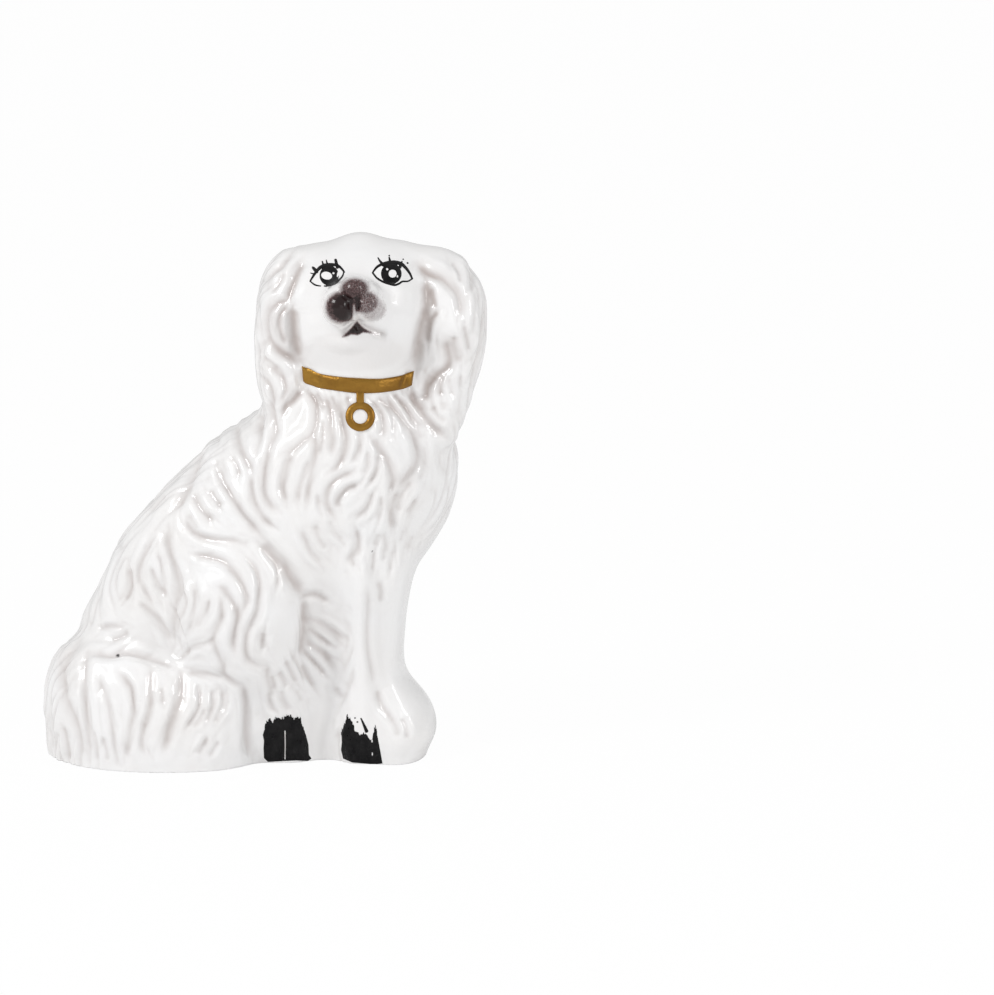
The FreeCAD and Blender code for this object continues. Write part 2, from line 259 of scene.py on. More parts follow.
# Each lift of the crown is its place and half width in the picture and its height in millimetres.
CROWN_PASSES, CROWN_FROM, CROWN_TO = 60, 0.286, 0.298
CROWN_LIFTS = (402, 15, 2.2), (317, 11, 0.9)
LIFT_FROM, LIFT_TO = 0.272, 0.290
soft = around.softened(soft, CROWN_PASSES, SOFT_SHARE * ramp(soft[:, 2], CROWN_FROM, CROWN_TO)[:, None])
for x, half_width, height in CROWN_LIFTS:
    lift = height * MM * np.exp(-((sight(soft)[:, 0] - x) / half_width) ** 2)
    soft[:, 2] += lift * ramp(soft[:, 2], LIFT_FROM, LIFT_TO)
print("slip runs in by up to", round(np.linalg.norm(soft - places, axis=1).max() / MM, 1), "mm")

# %% Fine skin
place_corners(coarse, soft)
MUZZLE_WINDOW = (320, 274, 394, 347)
skin = bmesh.new()
skin.from_mesh(applied(coarse, "fine", REMESH={"mode": "VOXEL", "voxel_size": VOXEL}))
places = np.array([corner.co for corner in skin.verts])
spots = sight(places)
inside = ((spots > MUZZLE_WINDOW[:2]) & (spots < MUZZLE_WINDOW[2:])).all(1) & (places[:, 1] < 0)
muzzle_edges = [edge for edge in skin.edges if all(inside[corner.index] for corner in edge.verts)]
bmesh.ops.subdivide_edges(skin, edges=muzzle_edges, cuts=1, use_grid_fill=True)
skin_mesh = as_mesh(skin, "skin")
around = Neighbours(skin_mesh)
places = corner_array(skin_mesh)
corner_count = len(places)
print("fine skin of", corner_count, "corners")

# %% [markdown]
# ## Which piece a spot belongs to
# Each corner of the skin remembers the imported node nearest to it, so the skin can be parted along the
# same luted joints later. The muzzle is a piece of its own, because its tint is one.

# %% Nearest pieces
PARTED = PRESSED + ("base_slab", "muzzle_tint")
corners, facets, owners = [], [], []
for number, name in enumerate(PRESSED + ("base_slab",)):
    mesh = nodes[name].data
    first = len(corners)
    corners.extend(corner.co.copy() for corner in mesh.vertices)
    facets.extend([first + i for i in face.vertices] for face in mesh.polygons)
    owners.extend([number] * len(mesh.polygons))
near = BVHTree.FromPolygons(corners, facets)
owner = np.array([owners[near.find_nearest(place)[2]] for place in places])
print({name: int((owner == number).sum()) for number, name in enumerate(PARTED)})

# %% Last softening
FINE_PASSES = 10
FACE_PASSES = 50
FACE_OVAL = (360, 308, 62, 70)
EAR_CREASE = (301, 354, 9, 16)
FINE_SHARE = 0.5
from_slab = away_from_slab(places, 4 * MM)
soft = around.softened(places, FINE_PASSES, FINE_SHARE * ramp(from_slab, 1 * MM, 4 * MM)[:, None])


def within(spots, window, power):
    """1 inside a rounded window of the picture, 0 outside, with an eased edge."""
    x, y, half_width, half_height = window
    across, up = np.abs((spots[:, 0] - x) / half_width), np.abs((spots[:, 1] - y) / half_height)
    return 1 - ramp((across ** power + up ** power) ** (1 / power), 0.86, 1.1)


spots = sight(soft)
smooth = np.maximum(within(spots, FACE_OVAL, 4), within(spots, EAR_CREASE, 2)) * (soft[:, 1] < 0)
soft = around.softened(soft, FACE_PASSES, FINE_SHARE * smooth[:, None])
place_corners(skin_mesh, soft)
print("largest move", round(np.linalg.norm(soft - places, axis=1).max() / MM, 2), "mm")

# %% [markdown]
# ## Hair strokes
# A modeller draws the coat with a wooden tool: long S-shaped strokes that leave a sharp valley with a
# small raised lip on each side. Each row here is one stroke: its depth in millimetres, then the points
# it passes through in the picture.

# %% Ear strokes
RIGHT_EAR_STROKES = (
    (0.8, 292, 254, 284, 264, 275, 272, 269, 280, 265, 291),
    (0.6, 281, 248, 272, 258, 265, 266),
    (0.8, 283, 272, 280, 280, 275, 289, 271, 293),
    (1.6, 303, 262, 297, 272, 293, 282, 290, 290, 287, 299),
    (2.2, 293, 308, 293, 320, 294, 335, 297, 350, 301, 357),
    (2.0, 288, 299, 278, 303, 270, 310, 267, 320, 267, 332, 271, 342, 279, 350, 290, 357, 301, 366),
    (1.6, 288, 306, 281, 314, 279, 323, 281, 334, 287, 345),
    (1.3, 260, 373, 266, 380, 271, 389, 272, 399, 271, 408, 274, 420, 275, 430, 273, 440, 269, 452),
    (1.1, 269, 366, 276, 371, 283, 378, 287, 388, 284, 397, 280, 405),
    (1.4, 301, 390, 293, 400, 286, 407, 281, 417),
    (0.6, 262, 357, 270, 362, 279, 370),
    (0.8, 261, 414, 262, 430),
    (0.5, 258, 298, 257, 315, 259, 332),
    (0.5, 264, 340, 259, 354),
)
LEFT_EAR_STROKES = (
    (2.1, 418, 265, 428, 273, 440, 277, 450, 285, 458, 294, 461, 306, 460, 318),
    (2.3, 425, 280, 427, 295, 427, 310, 423, 325, 420, 340, 418, 352, 414, 368),
    (1.2, 431, 288, 433, 300, 434, 308),
    (1.3, 437, 311, 431, 320, 428, 333, 428, 343),
    (2.2, 443, 342, 447, 350, 449, 360, 446, 369, 437, 375, 430, 381),
    (1.9, 454, 336, 454, 345, 456, 353, 459, 363),
    (2.0, 433, 376, 427, 387, 424, 400),
    (1.2, 442, 376, 439, 386, 441, 396),
    (0.6, 449, 378, 451, 388, 453, 397),
    (0.5, 461, 376, 462, 388),
    (0.7, 463, 325, 467, 338, 468, 352),
    (0.9, 452, 262, 458, 272, 461, 284),
    (0.7, 464, 252, 470, 264, 472, 278, 471, 294),
    (0.9, 483, 306, 484, 325, 482, 343, 478, 358, 474, 374, 470, 388),
    (2.0, 411, 391, 417, 403, 423, 414, 430, 423, 438, 431, 445, 436),
    (0.8, 433, 406, 438, 416, 446, 422),
    (0.7, 443, 402, 445, 410),
)
print("strokes on the ears", len(RIGHT_EAR_STROKES + LEFT_EAR_STROKES))

# %% Mane strokes
MANE_STROKES = (
    (1.6, 310, 393, 315, 402, 316, 412, 315, 424, 311, 434, 303, 441, 294, 449, 285, 456),
    (1.3, 313, 434, 316, 445, 315, 458, 312, 470, 309, 483, 308, 495, 309, 506),
    (1.5, 322, 397, 328, 405, 331, 416, 331, 430, 332, 442, 331, 456),
    (1.7, 337, 399, 340, 411, 343, 424, 346, 437, 345, 450, 341, 461, 336, 468, 328, 471),
    (0.9, 322, 420, 323, 432, 321, 444, 318, 456),
    (0.8, 348, 396, 349, 403, 352, 408),
    (0.8, 378, 396, 384, 403, 390, 411, 394, 421, 396, 432),
    (0.7, 394, 394, 401, 401, 409, 409),
    (0.7, 331, 396, 334, 404, 335, 412),
    (0.7, 316, 392, 320, 400, 322, 410),
    (0.7, 358, 432, 360, 441, 358, 452, 353, 462),
    (1.4, 371, 402, 377, 406, 382, 415, 383, 427, 382, 437),
    (1.8, 374, 438, 381, 450, 387, 460, 391, 470, 393, 480, 391, 493),
    (1.9, 385, 398, 395, 409, 404, 420, 412, 431, 417, 443, 419, 455, 417, 465, 411, 474, 403, 482,
     395, 489),
    (0.7, 423, 446, 426, 458, 424, 470, 419, 482),
    (1.2, 399, 399, 407, 408, 414, 417, 423, 428),
    (0.9, 408, 407, 413, 418, 419, 430, 424, 441),
    (1.1, 377, 454, 377, 465, 374, 475, 369, 483),
    (0.7, 367, 452, 367, 465, 362, 475),
    (1.3, 353, 472, 343, 476, 334, 482, 328, 490, 326, 500, 329, 511, 334, 519),
    (1.4, 358, 486, 349, 488, 342, 494, 338, 501, 339, 509),
    (0.7, 372, 492, 370, 503, 364, 512, 355, 519),
    (0.6, 381, 496, 381, 509, 377, 521),
    (0.6, 318, 494, 319, 507, 324, 519),
    (1.5, 399, 492, 394, 502, 392, 514, 393, 529),
    (1.2, 413, 482, 405, 491, 400, 501, 397, 513),
    (0.8, 416, 499, 411, 507, 406, 513),
    (0.9, 309, 460, 303, 474, 299, 489, 299, 503),
    (0.6, 330, 520, 335, 532, 344, 541),
    (0.7, 302, 530, 306, 542, 313, 554, 324, 564),
    (0.8, 314, 526, 319, 539, 327, 550),
    (1.2, 356, 530, 358, 540, 357, 550, 352, 559, 355, 569),
    (0.8, 379, 534, 374, 546),
    (0.5, 403, 530, 400, 542),
    (0.5, 413, 536, 409, 548),
    (0.5, 374, 552, 373, 570),
    (0.5, 385, 536, 383, 562),
    (0.5, 393, 550, 392, 572),
)
print("strokes on the mane", len(MANE_STROKES))

# %% Back and haunch strokes
BACK_STROKES = (
    (1.5, 201, 450, 198, 462, 194, 472, 188, 487, 182, 498, 175, 510),
    (0.7, 175, 476, 160, 491, 144, 509),
    (0.6, 166, 495, 157, 504, 149, 512),
    (1.5, 219, 466, 222, 480, 227, 490, 233, 500, 241, 512, 251, 523, 262, 536),
    (1.3, 210, 490, 214, 497, 221, 507),
    (1.4, 193, 493, 197, 503, 203, 512, 214, 522),
    (1.2, 185, 521, 189, 528, 196, 534, 207, 538, 225, 540, 244, 541),
    (0.7, 189, 514, 193, 522, 198, 529),
    (1.4, 237, 424, 238, 440, 243, 454, 248, 464, 252, 473),
    (0.8, 231, 456, 236, 465, 241, 476),
    (0.8, 259, 421, 260, 436, 257, 448, 255, 460),
    (1.6, 270, 450, 266, 464, 263, 478, 264, 492, 268, 502, 276, 513),
    (1.2, 251, 476, 252, 490, 255, 504, 263, 517, 274, 528),
    (1.4, 292, 455, 287, 466, 284, 478, 283, 490, 287, 503),
    (0.5, 220, 428, 217, 442),
    (1.5, 130, 568, 131, 583, 129, 593, 124, 601),
    (1.4, 167, 530, 167, 543, 170, 555, 175, 570, 178, 585, 176, 598, 175, 610, 174, 622, 175, 636),
    (0.9, 152, 541, 146, 552, 141, 562, 139, 573, 141, 584, 147, 595, 155, 604),
    (1.1, 151, 568, 155, 578, 161, 588, 166, 598),
    (0.6, 158, 555, 163, 570, 168, 588),
    (1.3, 139, 602, 149, 610, 158, 619, 166, 630, 173, 642),
    (0.9, 102, 626, 114, 626, 126, 627),
    (1.0, 112, 640, 120, 637, 129, 632),
)
HAUNCH_STROKES = (
    (1.5, 192, 555, 208, 557, 222, 561, 232, 569, 240, 580, 245, 592, 246, 603, 243, 610, 238, 618),
    (1.5, 217, 586, 224, 589, 230, 598, 235, 608, 238, 618, 235, 630, 233, 642, 235, 655),
    (1.2, 251, 560, 257, 571, 260, 585, 259, 600, 257, 612, 251, 624, 247, 636, 246, 648, 249, 659,
     258, 666, 267, 667),
    (1.2, 265, 633, 263, 641, 264, 650),
    (1.2, 220, 590, 222, 606, 221, 619, 216, 630, 213, 640, 217, 652, 222, 664, 224, 675, 234, 682,
     246, 687),
    (1.0, 209, 600, 206, 610, 201, 620, 197, 629),
    (0.9, 194, 588, 195, 600, 194, 613, 191, 624, 186, 634),
    (1.0, 183, 590, 186, 601, 183, 612, 178, 622, 177, 636),
    (0.9, 184, 655, 190, 648, 197, 645, 206, 643, 214, 638),
    (1.0, 188, 672, 200, 673, 212, 675, 223, 678),
    (2.4, 262, 543, 269, 551, 275, 558, 284, 567, 291, 577, 298, 587, 303, 596),
    (1.7, 304, 600, 305, 620, 304, 640, 301, 656),
    (1.3, 286, 660, 290, 669, 297, 683),
    (1.1, 278, 672, 283, 680, 287, 688),
    (0.9, 272, 676, 274, 690),
    (0.8, 267, 668, 269, 684, 275, 698),
    (0.8, 293, 655, 300, 668, 306, 680),
    (0.7, 281, 690, 284, 702, 290, 711),
    (0.7, 268, 692, 270, 706, 274, 713),
    (0.6, 298, 690, 302, 702),
    (0.5, 275, 560, 277, 573, 277, 587),
)
print("strokes on back and haunch", len(BACK_STROKES + HAUNCH_STROKES))

# %% Belly, tail and leg strokes
BELLY_STROKES = (
    (0.9, 302, 598, 312, 595, 320, 597, 327, 603),
    (0.9, 304, 619, 315, 621, 325, 627, 334, 633, 343, 641),
    (0.8, 307, 629, 316, 634, 323, 640, 331, 647),
    (0.9, 306, 642, 317, 649, 325, 655, 331, 663),
    (0.8, 304, 651, 312, 660, 319, 668, 324, 676),
    (0.7, 302, 664, 308, 676, 315, 687),
)
TAIL_STROKES = (
    (1.0, 67, 641, 58, 652, 52, 663, 49, 673),
    (1.7, 80, 643, 69, 655, 63, 668, 62, 680, 65, 695, 70, 707, 75, 719, 79, 733, 81, 748, 81, 761),
    (1.3, 88, 651, 85, 664, 84, 681, 84, 697, 86, 713, 88, 728, 89, 743, 90, 759),
    (1.2, 63, 726, 66, 738, 68, 750, 69, 761),
    (0.9, 98, 680, 102, 690, 107, 702, 110, 716, 112, 730, 114, 746, 116, 762),
    (0.7, 94, 730, 96, 745, 97, 762),
    (0.8, 103, 737, 106, 750, 108, 762),
    (1.2, 118, 672, 125, 679, 131, 688, 133, 701, 133, 713, 131, 725, 129, 738, 127, 749, 128, 760),
    (1.2, 151, 670, 151, 685, 151, 699, 149, 712, 146, 722, 143, 733, 142, 745, 147, 758),
    (0.6, 161, 688, 163, 704),
    (1.9, 181, 674, 182, 686, 180, 699, 175, 713, 170, 726, 167, 738, 163, 753),
    (1.0, 200, 689, 200, 703, 196, 713, 186, 727),
    (0.7, 205, 708, 201, 718, 193, 727),
    (1.0, 212, 689, 213, 703, 211, 712, 206, 723),
    (0.7, 222, 690, 224, 704, 219, 715, 214, 725),
    (0.8, 208, 737, 204, 746, 198, 755),
    (0.8, 219, 741, 214, 749, 209, 757),
    (1.6, 243, 686, 246, 700, 247, 720, 248, 740, 249, 757),
    (1.2, 88, 652, 100, 654, 112, 655, 125, 652, 137, 654, 150, 659, 163, 663, 174, 669),
    (0.5, 50, 712, 53, 735, 56, 752),
)
LEG_STROKES = (
    (0.8, 368, 590, 368, 610, 367, 630, 368, 650, 371, 668, 374, 684),
    (0.9, 379, 582, 381, 592, 380, 602),
    (0.9, 377, 690, 381, 703, 387, 713, 392, 719),
    (0.8, 390, 717, 396, 727, 398, 737),
    (0.8, 402, 718, 406, 728, 408, 740),
    (0.6, 335, 688, 343, 698),
    (1.0, 285, 733, 285, 745, 285, 760),
)
UPPER_STROKES = RIGHT_EAR_STROKES + LEFT_EAR_STROKES + MANE_STROKES + BACK_STROKES + HAUNCH_STROKES
HAIR_STROKES = UPPER_STROKES + BELLY_STROKES + TAIL_STROKES
FRONT_STROKES = HAIR_STROKES + LEG_STROKES
REAR_STROKES = UPPER_STROKES + TAIL_STROKES
print(len(FRONT_STROKES), "strokes in front,", len(REAR_STROKES), "behind")

# %% Carving
STROKE_STEPS = 5
STROKE_STRENGTH = 1.5
DEEPEST = 3.4
THINNEST, WIDENING = 1.25, 0.5
SHARP_SHARE, SHARP_WIDTH = 0.35, 0.45
LIP_SHARE, LIP_PLACE = 0.5, 2.2


def eased_line(flat):
    """A smooth line, as many points, through points given as x, y, x, y and so on."""
    points = np.array(flat, float).reshape(-1, 2)
    ends = np.vstack((2 * points[0] - points[1], points, 2 * points[-1] - points[-2]))
    line = []
    for a, b, c, d in zip(ends, ends[1:], ends[2:], ends[3:]):
        for t in np.arange(STROKE_STEPS) / STROKE_STEPS:
            bend = (2 * a - 5 * b + 4 * c - d) * t ** 2 + (3 * b - a - 3 * c + d) * t ** 3
            line.append(b + ((c - a) * t + bend) / 2)
    return np.array(line + [points[-1]])


def distance_to_line(spots, line):
    """How far spots are from a line, and how far along it their nearest point is, from 0 to 1."""
    start, run = line[:-1], np.diff(line, axis=0)
    lengths = np.linalg.norm(run, axis=1)
    gone = np.concatenate(([0], np.cumsum(lengths)))
    offset = spots[:, None, :] - start[None]
    t = ((offset * run).sum(-1) / lengths ** 2).clip(0, 1)
    apart = np.linalg.norm(offset - t[..., None] * run, axis=-1)
    nearest = apart.argmin(1)
    rows = np.arange(len(spots))
    along = (gone[nearest] + t[rows, nearest] * lengths[nearest]) / gone[-1]
    return apart[rows, nearest], along


def patch(spots, outline):
    """How far spots are from the edge of a closed outline, below zero inside."""
    points = np.array(outline, float).reshape(-1, 2)
    closed = np.vstack((points, points[:1]))
    apart, _ = distance_to_line(spots, closed)
    (x1, y1), (x2, y2) = closed[:-1].T[:, None], closed[1:].T[:, None]
    x, y = spots[:, 0, None], spots[:, 1, None]
    crosses = ((y1 > y) != (y2 > y)) & (x < (x2 - x1) * (y - y1) / (y2 - y1 + 1e-12) + x1)
    return np.where(crosses.sum(1) % 2 == 1, -apart, apart)


def carve(spots, strokes, unit, valley, lip):
    """Adds strokes to the valleys and lips of the corners whose spots they pass. A unit is one
    millimetre in the strokes' own measure."""
    for depth, *flat in strokes:
        line = eased_line(flat)
        depth = depth * STROKE_STRENGTH
        width = THINNEST + WIDENING * depth
        reach = 5 * width * unit
        close = ((spots > line.min(0) - reach) & (spots < line.max(0) + reach)).all(1).nonzero()[0]
        if not len(close):
            continue
        apart, along = distance_to_line(spots[close], line)
        apart = apart / unit
        taper = ramp(along, -0.06, 0.14) * ramp(1 - along, -0.06, 0.18)
        wide = np.exp(-(apart / width) ** 2)
        sharp = np.exp(-apart / (SHARP_WIDTH * width))
        valley[close] += depth * taper * ((1 - SHARP_SHARE) * wide + SHARP_SHARE * sharp)
        lip[close] += LIP_SHARE * depth * taper * np.exp(-((apart - LIP_PLACE * width) / width) ** 2)


print("a line through 3 points has", len(eased_line((0, 0, 5, 9, 9, 20))), "points")

# %% [markdown]
# ## Fine locks between the strokes
# Between the drawn strokes the comb leaves finer locks that run the same way. A grid over the picture
# takes its run from the nearest strokes, and seeded noise is smeared along that run. The smeared noise's
# zero lines are the valleys between the locks, and what lies between them is rounded like hair.

# %% Combed noise
def sampled(grid, spots):
    """A grid's values at spots in cells, blended between the four nearest."""
    rows, columns = grid.shape
    x, y = spots[:, 0].clip(0, columns - 1.001), spots[:, 1].clip(0, rows - 1.001)
    j, i = x.astype(int), y.astype(int)
    u, v = x - j, y - i
    upper = grid[i, j] * (1 - u) + grid[i, j + 1] * u
    lower = grid[i + 1, j] * (1 - u) + grid[i + 1, j + 1] * u
    return upper * (1 - v) + lower * v


def cell_spots(rows, columns):
    return np.stack(np.meshgrid(np.arange(columns), np.arange(rows)), -1).reshape(-1, 2).astype(float)


def combed(run, width, length, seed):
    """Noise smeared along a run, which is a grid of directions. Its spread is 1."""
    rows, columns = run.shape[:2]
    noise = np.random.default_rng(seed).normal(size=(rows, columns))
    for _ in range(round(width ** 2 / 0.4)):
        noise = (noise + np.roll(noise, 1, 0) + np.roll(noise, -1, 0) + np.roll(noise, 1, 1)
                 + np.roll(noise, -1, 1)) / 5
    noise, flow = noise.ravel(), run.reshape(-1, 2)
    total = noise.copy()
    for way in (1, -1):
        spots, heading = cell_spots(rows, columns), way * flow
        for step in range(1, length):
            spots = (spots + heading).clip(0, (columns - 1, rows - 1))
            cell = np.rint(spots[:, 1]).astype(int) * columns + np.rint(spots[:, 0]).astype(int)
            heading = flow[cell] * np.sign((flow[cell] * heading).sum(1, keepdims=True) + 1e-9)
            total += noise[cell] * (1 + math.cos(math.pi * step / length)) / 2
    total = total.reshape(rows, columns)
    return total / total.std()


LOCK_LIMIT, LOCK_ROUNDNESS, LOCK_VALLEY = 1.8, 0.75, 0.8


def locks(combings):
    """Rounded locks with narrow valleys, below zero in a valley and above it on a lock."""
    return np.abs(combings).clip(0, LOCK_LIMIT) ** LOCK_ROUNDNESS - LOCK_VALLEY


lowest, highest = locks(np.array((0, LOCK_LIMIT)))
print("locks run from", round(float(lowest), 2), "to", round(float(highest), 2))

# %% Locks that follow the strokes
GRID_LOW, GRID_HIGH = np.array((30, 220)), np.array((500, 785))
RUN_STEP = 6
RUN_BLEND = 12
LOCK_REACH = 9
lines = [eased_line(flat) for depth, *flat in HAIR_STROKES]
stroke_spots = np.concatenate([(line[1:] + line[:-1]) / 2 for line in lines])
stroke_runs = np.concatenate([np.diff(line, axis=0) for line in lines])
stroke_runs /= np.linalg.norm(stroke_runs, axis=1, keepdims=True)
columns, rows = GRID_HIGH - GRID_LOW
shape = rows // RUN_STEP + 2, columns // RUN_STEP + 2
crossings = cell_spots(*shape) * RUN_STEP + GRID_LOW
apart = ((crossings[:, None] - stroke_spots) ** 2).sum(-1)
weight = 1 / (apart + RUN_BLEND) ** 2
twice = np.stack((weight @ (stroke_runs[:, 0] ** 2 - stroke_runs[:, 1] ** 2),
                  weight @ (2 * stroke_runs[:, 0] * stroke_runs[:, 1])), -1)
twice /= np.linalg.norm(twice, axis=1, keepdims=True)
inner = cell_spots(rows, columns) / RUN_STEP
across, up = (sampled(twice[:, k].reshape(shape), inner) for k in (0, 1))
angle = np.arctan2(up, across) / 2
picture_run = np.stack((np.cos(angle), np.sin(angle)), -1).reshape(rows, columns, 2)
nearness = np.exp(-apart.min(1) / LOCK_REACH ** 2).reshape(shape)
broad_locks = locks(combed(picture_run, width=2.6, length=30, seed=5))
fine_locks = locks(combed(picture_run, width=1.4, length=22, seed=8))
print("combed", rows, "by", columns, "cells")

# %% Carving the coat
BROAD_HEIGHT, FINE_HEIGHT = 0.8, 0.25
REAR_STRENGTH = 0.85
LIP_CAP = 1.1
normals = corner_array(skin_mesh, "normal")
mirror = np.array((1, -1, 1))
seam = 0.00294
unit = MM / PIXEL
relief = np.zeros(corner_count)
valleys = np.zeros(corner_count)
for side, strokes, strength in ((1, FRONT_STROKES, 1), (-1, REAR_STROKES, REAR_STRENGTH)):
    turned = np.where(side > 0, soft, (soft - (0, seam, 0)) * mirror + (0, seam, 0))
    facing = np.where(side > 0, normals, normals * mirror) @ TOWARD_VIEWER
    seen = (facing > 0.02).nonzero()[0]
    spots = sight(turned[seen])
    valley, lip = np.zeros(len(seen)), np.zeros(len(seen))
    carve(spots, strokes, unit, valley, lip)
    mask = strength * ramp(facing[seen], 0.04, 0.35)
    cells = spots - GRID_LOW
    hair = mask * (1 - within(spots, FACE_OVAL, 4)) * sampled(nearness, cells / RUN_STEP)
    comb = BROAD_HEIGHT * sampled(broad_locks, cells) + FINE_HEIGHT * sampled(fine_locks, cells)
    valley = DEEPEST * (1 - np.exp(-valley / DEEPEST)) * mask
    valleys[seen] = np.maximum(valleys[seen], valley + (-comb * hair).clip(0))
    raised = LIP_CAP * (1 - np.exp(-lip / LIP_CAP)) * mask
    relief[seen] += (raised + comb * hair) * (1 - valley / DEEPEST) - valley
print("deepest valley", round(valleys.max(), 2), "mm")

# %% [markdown]
# ## The two ends
# The viewer hardly sees the rump and the chest's far side, but they are combed too. There the locks hang
# down with a slight wave, and they fade in where the skin turns towards the end of the figure.

# %% Carving the ends
END_COLUMNS, END_ROWS = 230, 560
LEG_TOP = 0.122
END_STRENGTH = 0.7
cells = cell_spots(END_ROWS, END_COLUMNS)
wave = 0.5 * np.sin(cells[:, 1] / 34 + cells[:, 0] / 60) + 0.25 * np.sin(cells[:, 1] / 15)
end_run = np.stack((np.sin(wave), np.cos(wave)), -1).reshape(END_ROWS, END_COLUMNS, 2)
broad_end = locks(combed(end_run, width=3.2, length=38, seed=11))
fine_end = locks(combed(end_run, width=1.5, length=24, seed=12))
end_locks = 1.5 * broad_end + 0.3 * fine_end
for way in (-1, 1):
    facing = normals[:, 0] * way
    seen = ((facing > 0.35) & ((way < 0) | (soft[:, 2] > LEG_TOP))).nonzero()[0]
    across, down = soft[seen, 1] * way / PIXEL + END_COLUMNS / 2, END_ROWS - soft[seen, 2] / PIXEL
    calm = within(sight(soft[seen]), FACE_OVAL, 4) * (soft[seen, 1] < seam)
    mask = ramp(facing[seen], 0.4, 0.85) * (1 - calm)
    if way > 0:
        mask = mask * ramp(soft[seen, 2], LEG_TOP, LEG_TOP + 0.02)
    comb = sampled(end_locks, np.stack((across, down), -1)) * mask * END_STRENGTH
    relief[seen] += comb
    valleys[seen] = np.maximum(valleys[seen], (-comb).clip(0))
print("locks on both ends")

# %% [markdown]
# ## Muzzle
# The nose and the two lips under it are round swellings with creases between them. They are raised
# where the eye sees them, and the mouth is cut under them. A swelling's row is its place, its half width
# and half height in the picture, its height in millimetres and how steeply it falls off.

# %% Muzzle forms
SWELLINGS = (
    (356, 306, 33, 33, 3.2, 1.7),
    (355.0, 287.5, 14, 11, 4.4, 0.8),
    (339.5, 308.5, 17.5, 17.5, 5.0, 0.8),
    (367.5, 305.0, 16.5, 16, 4.0, 0.9),
    (348.0, 343.0, 26, 13, 1.5, 1.8),
)
MUZZLE_STROKES = (
    (1.3, 350, 301, 350.5, 308, 351, 314, 350, 320, 347, 325),
    (1.2, 357, 300, 357.5, 307, 358, 314, 358.5, 320, 362, 325),
    (1.8, 356, 321, 351, 328, 346, 333, 341, 337),
    (2.0, 356, 321, 363, 327, 371, 331.5, 380, 334.5, 388, 336.5),
    (2.0, 355, 325, 355, 330, 354, 334),
    (1.5, 337, 292, 344, 296, 350, 300, 353, 303),
    (1.3, 356, 301, 361, 298, 366, 297, 371, 292),
)
front = ((normals @ TOWARD_VIEWER > 0.05) & (soft[:, 1] < 0)).nonzero()[0]
spots = sight(soft[front])
swelling = np.zeros(len(front))
for x, y, half_width, half_height, height, ease in SWELLINGS:
    out = off_centre(spots, x, y, half_width, half_height)
    swelling = np.hypot(swelling, height * (1 - out ** 2).clip(0, 1) ** ease)
valley, lip = np.zeros(len(front)), np.zeros(len(front))
carve(spots, MUZZLE_STROKES, unit, valley, lip)
relief[front] += swelling - valley
valleys[front] = np.maximum(valleys[front], valley * 0.5)
print("muzzle raised by up to", round(swelling.max(), 1), "mm")

# %% [markdown]
# ## Pooled glaze and painted shade
# Glaze runs off the ridges and gathers in the valleys, where it looks warm grey. The same warm grey is
# painted into the hollows as shade, painted deeper in the valleys under the collar and beside the ears,
# and laid as painted shade under the chin and on the belly between haunch and foreleg. How much lies
# on a corner is kept as an attribute.

# %% Carved skin
FACE_MIDDLE = 360
# Painted shade: extra darkening of the valleys under the collar and beside the ears, and soft painted shade
# under the chin and on the belly.
COLLAR_ROW, COLLAR_SPREAD, COLLAR_REACH, COLLAR_SHADE = 399, 13, 56, 0.8
EARS_APART, EARS_SPREAD, EARS_ROW, EARS_REACH, EARS_SHADE = 72, 17, 335, 75, 0.6
CHIN_OVAL, CHIN_SHADE = (350, 352, 55, 20), 0.11
BELLY_OVAL, BELLY_SHADE = (325, 640, 26, 62), 0.10
FULL_VALLEY = 2.4
# Painted shade in the hollows, from how far a corner lies below its neighbours.
HOLLOW_SHADE = 7
carved = soft + normals * (relief * MM)[:, None]
carved = around.softened(carved, 1, 0.5)
carved[carved[:, 2] < 0, 2] = 0
place_corners(skin_mesh, carved)
hollow = ((around.mean(carved) - carved) * corner_array(skin_mesh, "normal")).sum(1) / MM
hollow = around.softened(hollow, 3, 0.5)
spots = sight(carved)
aside = np.abs(spots[:, 0] - FACE_MIDDLE)
in_front = carved[:, 1] < seam
shade_under_collar = np.exp(-((spots[:, 1] - COLLAR_ROW) / COLLAR_SPREAD) ** 2) * (aside < COLLAR_REACH)
shade_by_ears = np.exp(-((aside - EARS_APART) / EARS_SPREAD) ** 2)
shade_by_ears = shade_by_ears * (np.abs(spots[:, 1] - EARS_ROW) < EARS_REACH)
# Painted shade: valleys and hollows under the collar and beside the ears are darkened more.
shade_gain = 1 + (COLLAR_SHADE * shade_under_collar + EARS_SHADE * shade_by_ears) * in_front
shade = CHIN_SHADE * within(spots, CHIN_OVAL, 2) + BELLY_SHADE * within(spots, BELLY_OVAL, 2)
# Half pooled glaze in the valleys, half painted shade in the hollows, plus the painted shade above.
pool = (valleys / FULL_VALLEY).clip(0, 1) * 0.5 + (hollow * HOLLOW_SHADE).clip(0, 1) * 0.5
pool = around.softened((pool * shade_gain + shade * in_front).clip(0, 1), 2, 0.5)
print("pool", round(float(pool.mean()), 3), round(float(pool.max()), 3))

# %% [markdown]
# ## Sponged tint
# The painter dabs a brown tint on nose and lips, densest on the lip to the left in the picture, and
# fills the mouth with it. A tint's row is its place, its half width and half height in the picture and
# its density.
# Two specks from the kiln lie elsewhere on the glaze, and the same attribute carries them.

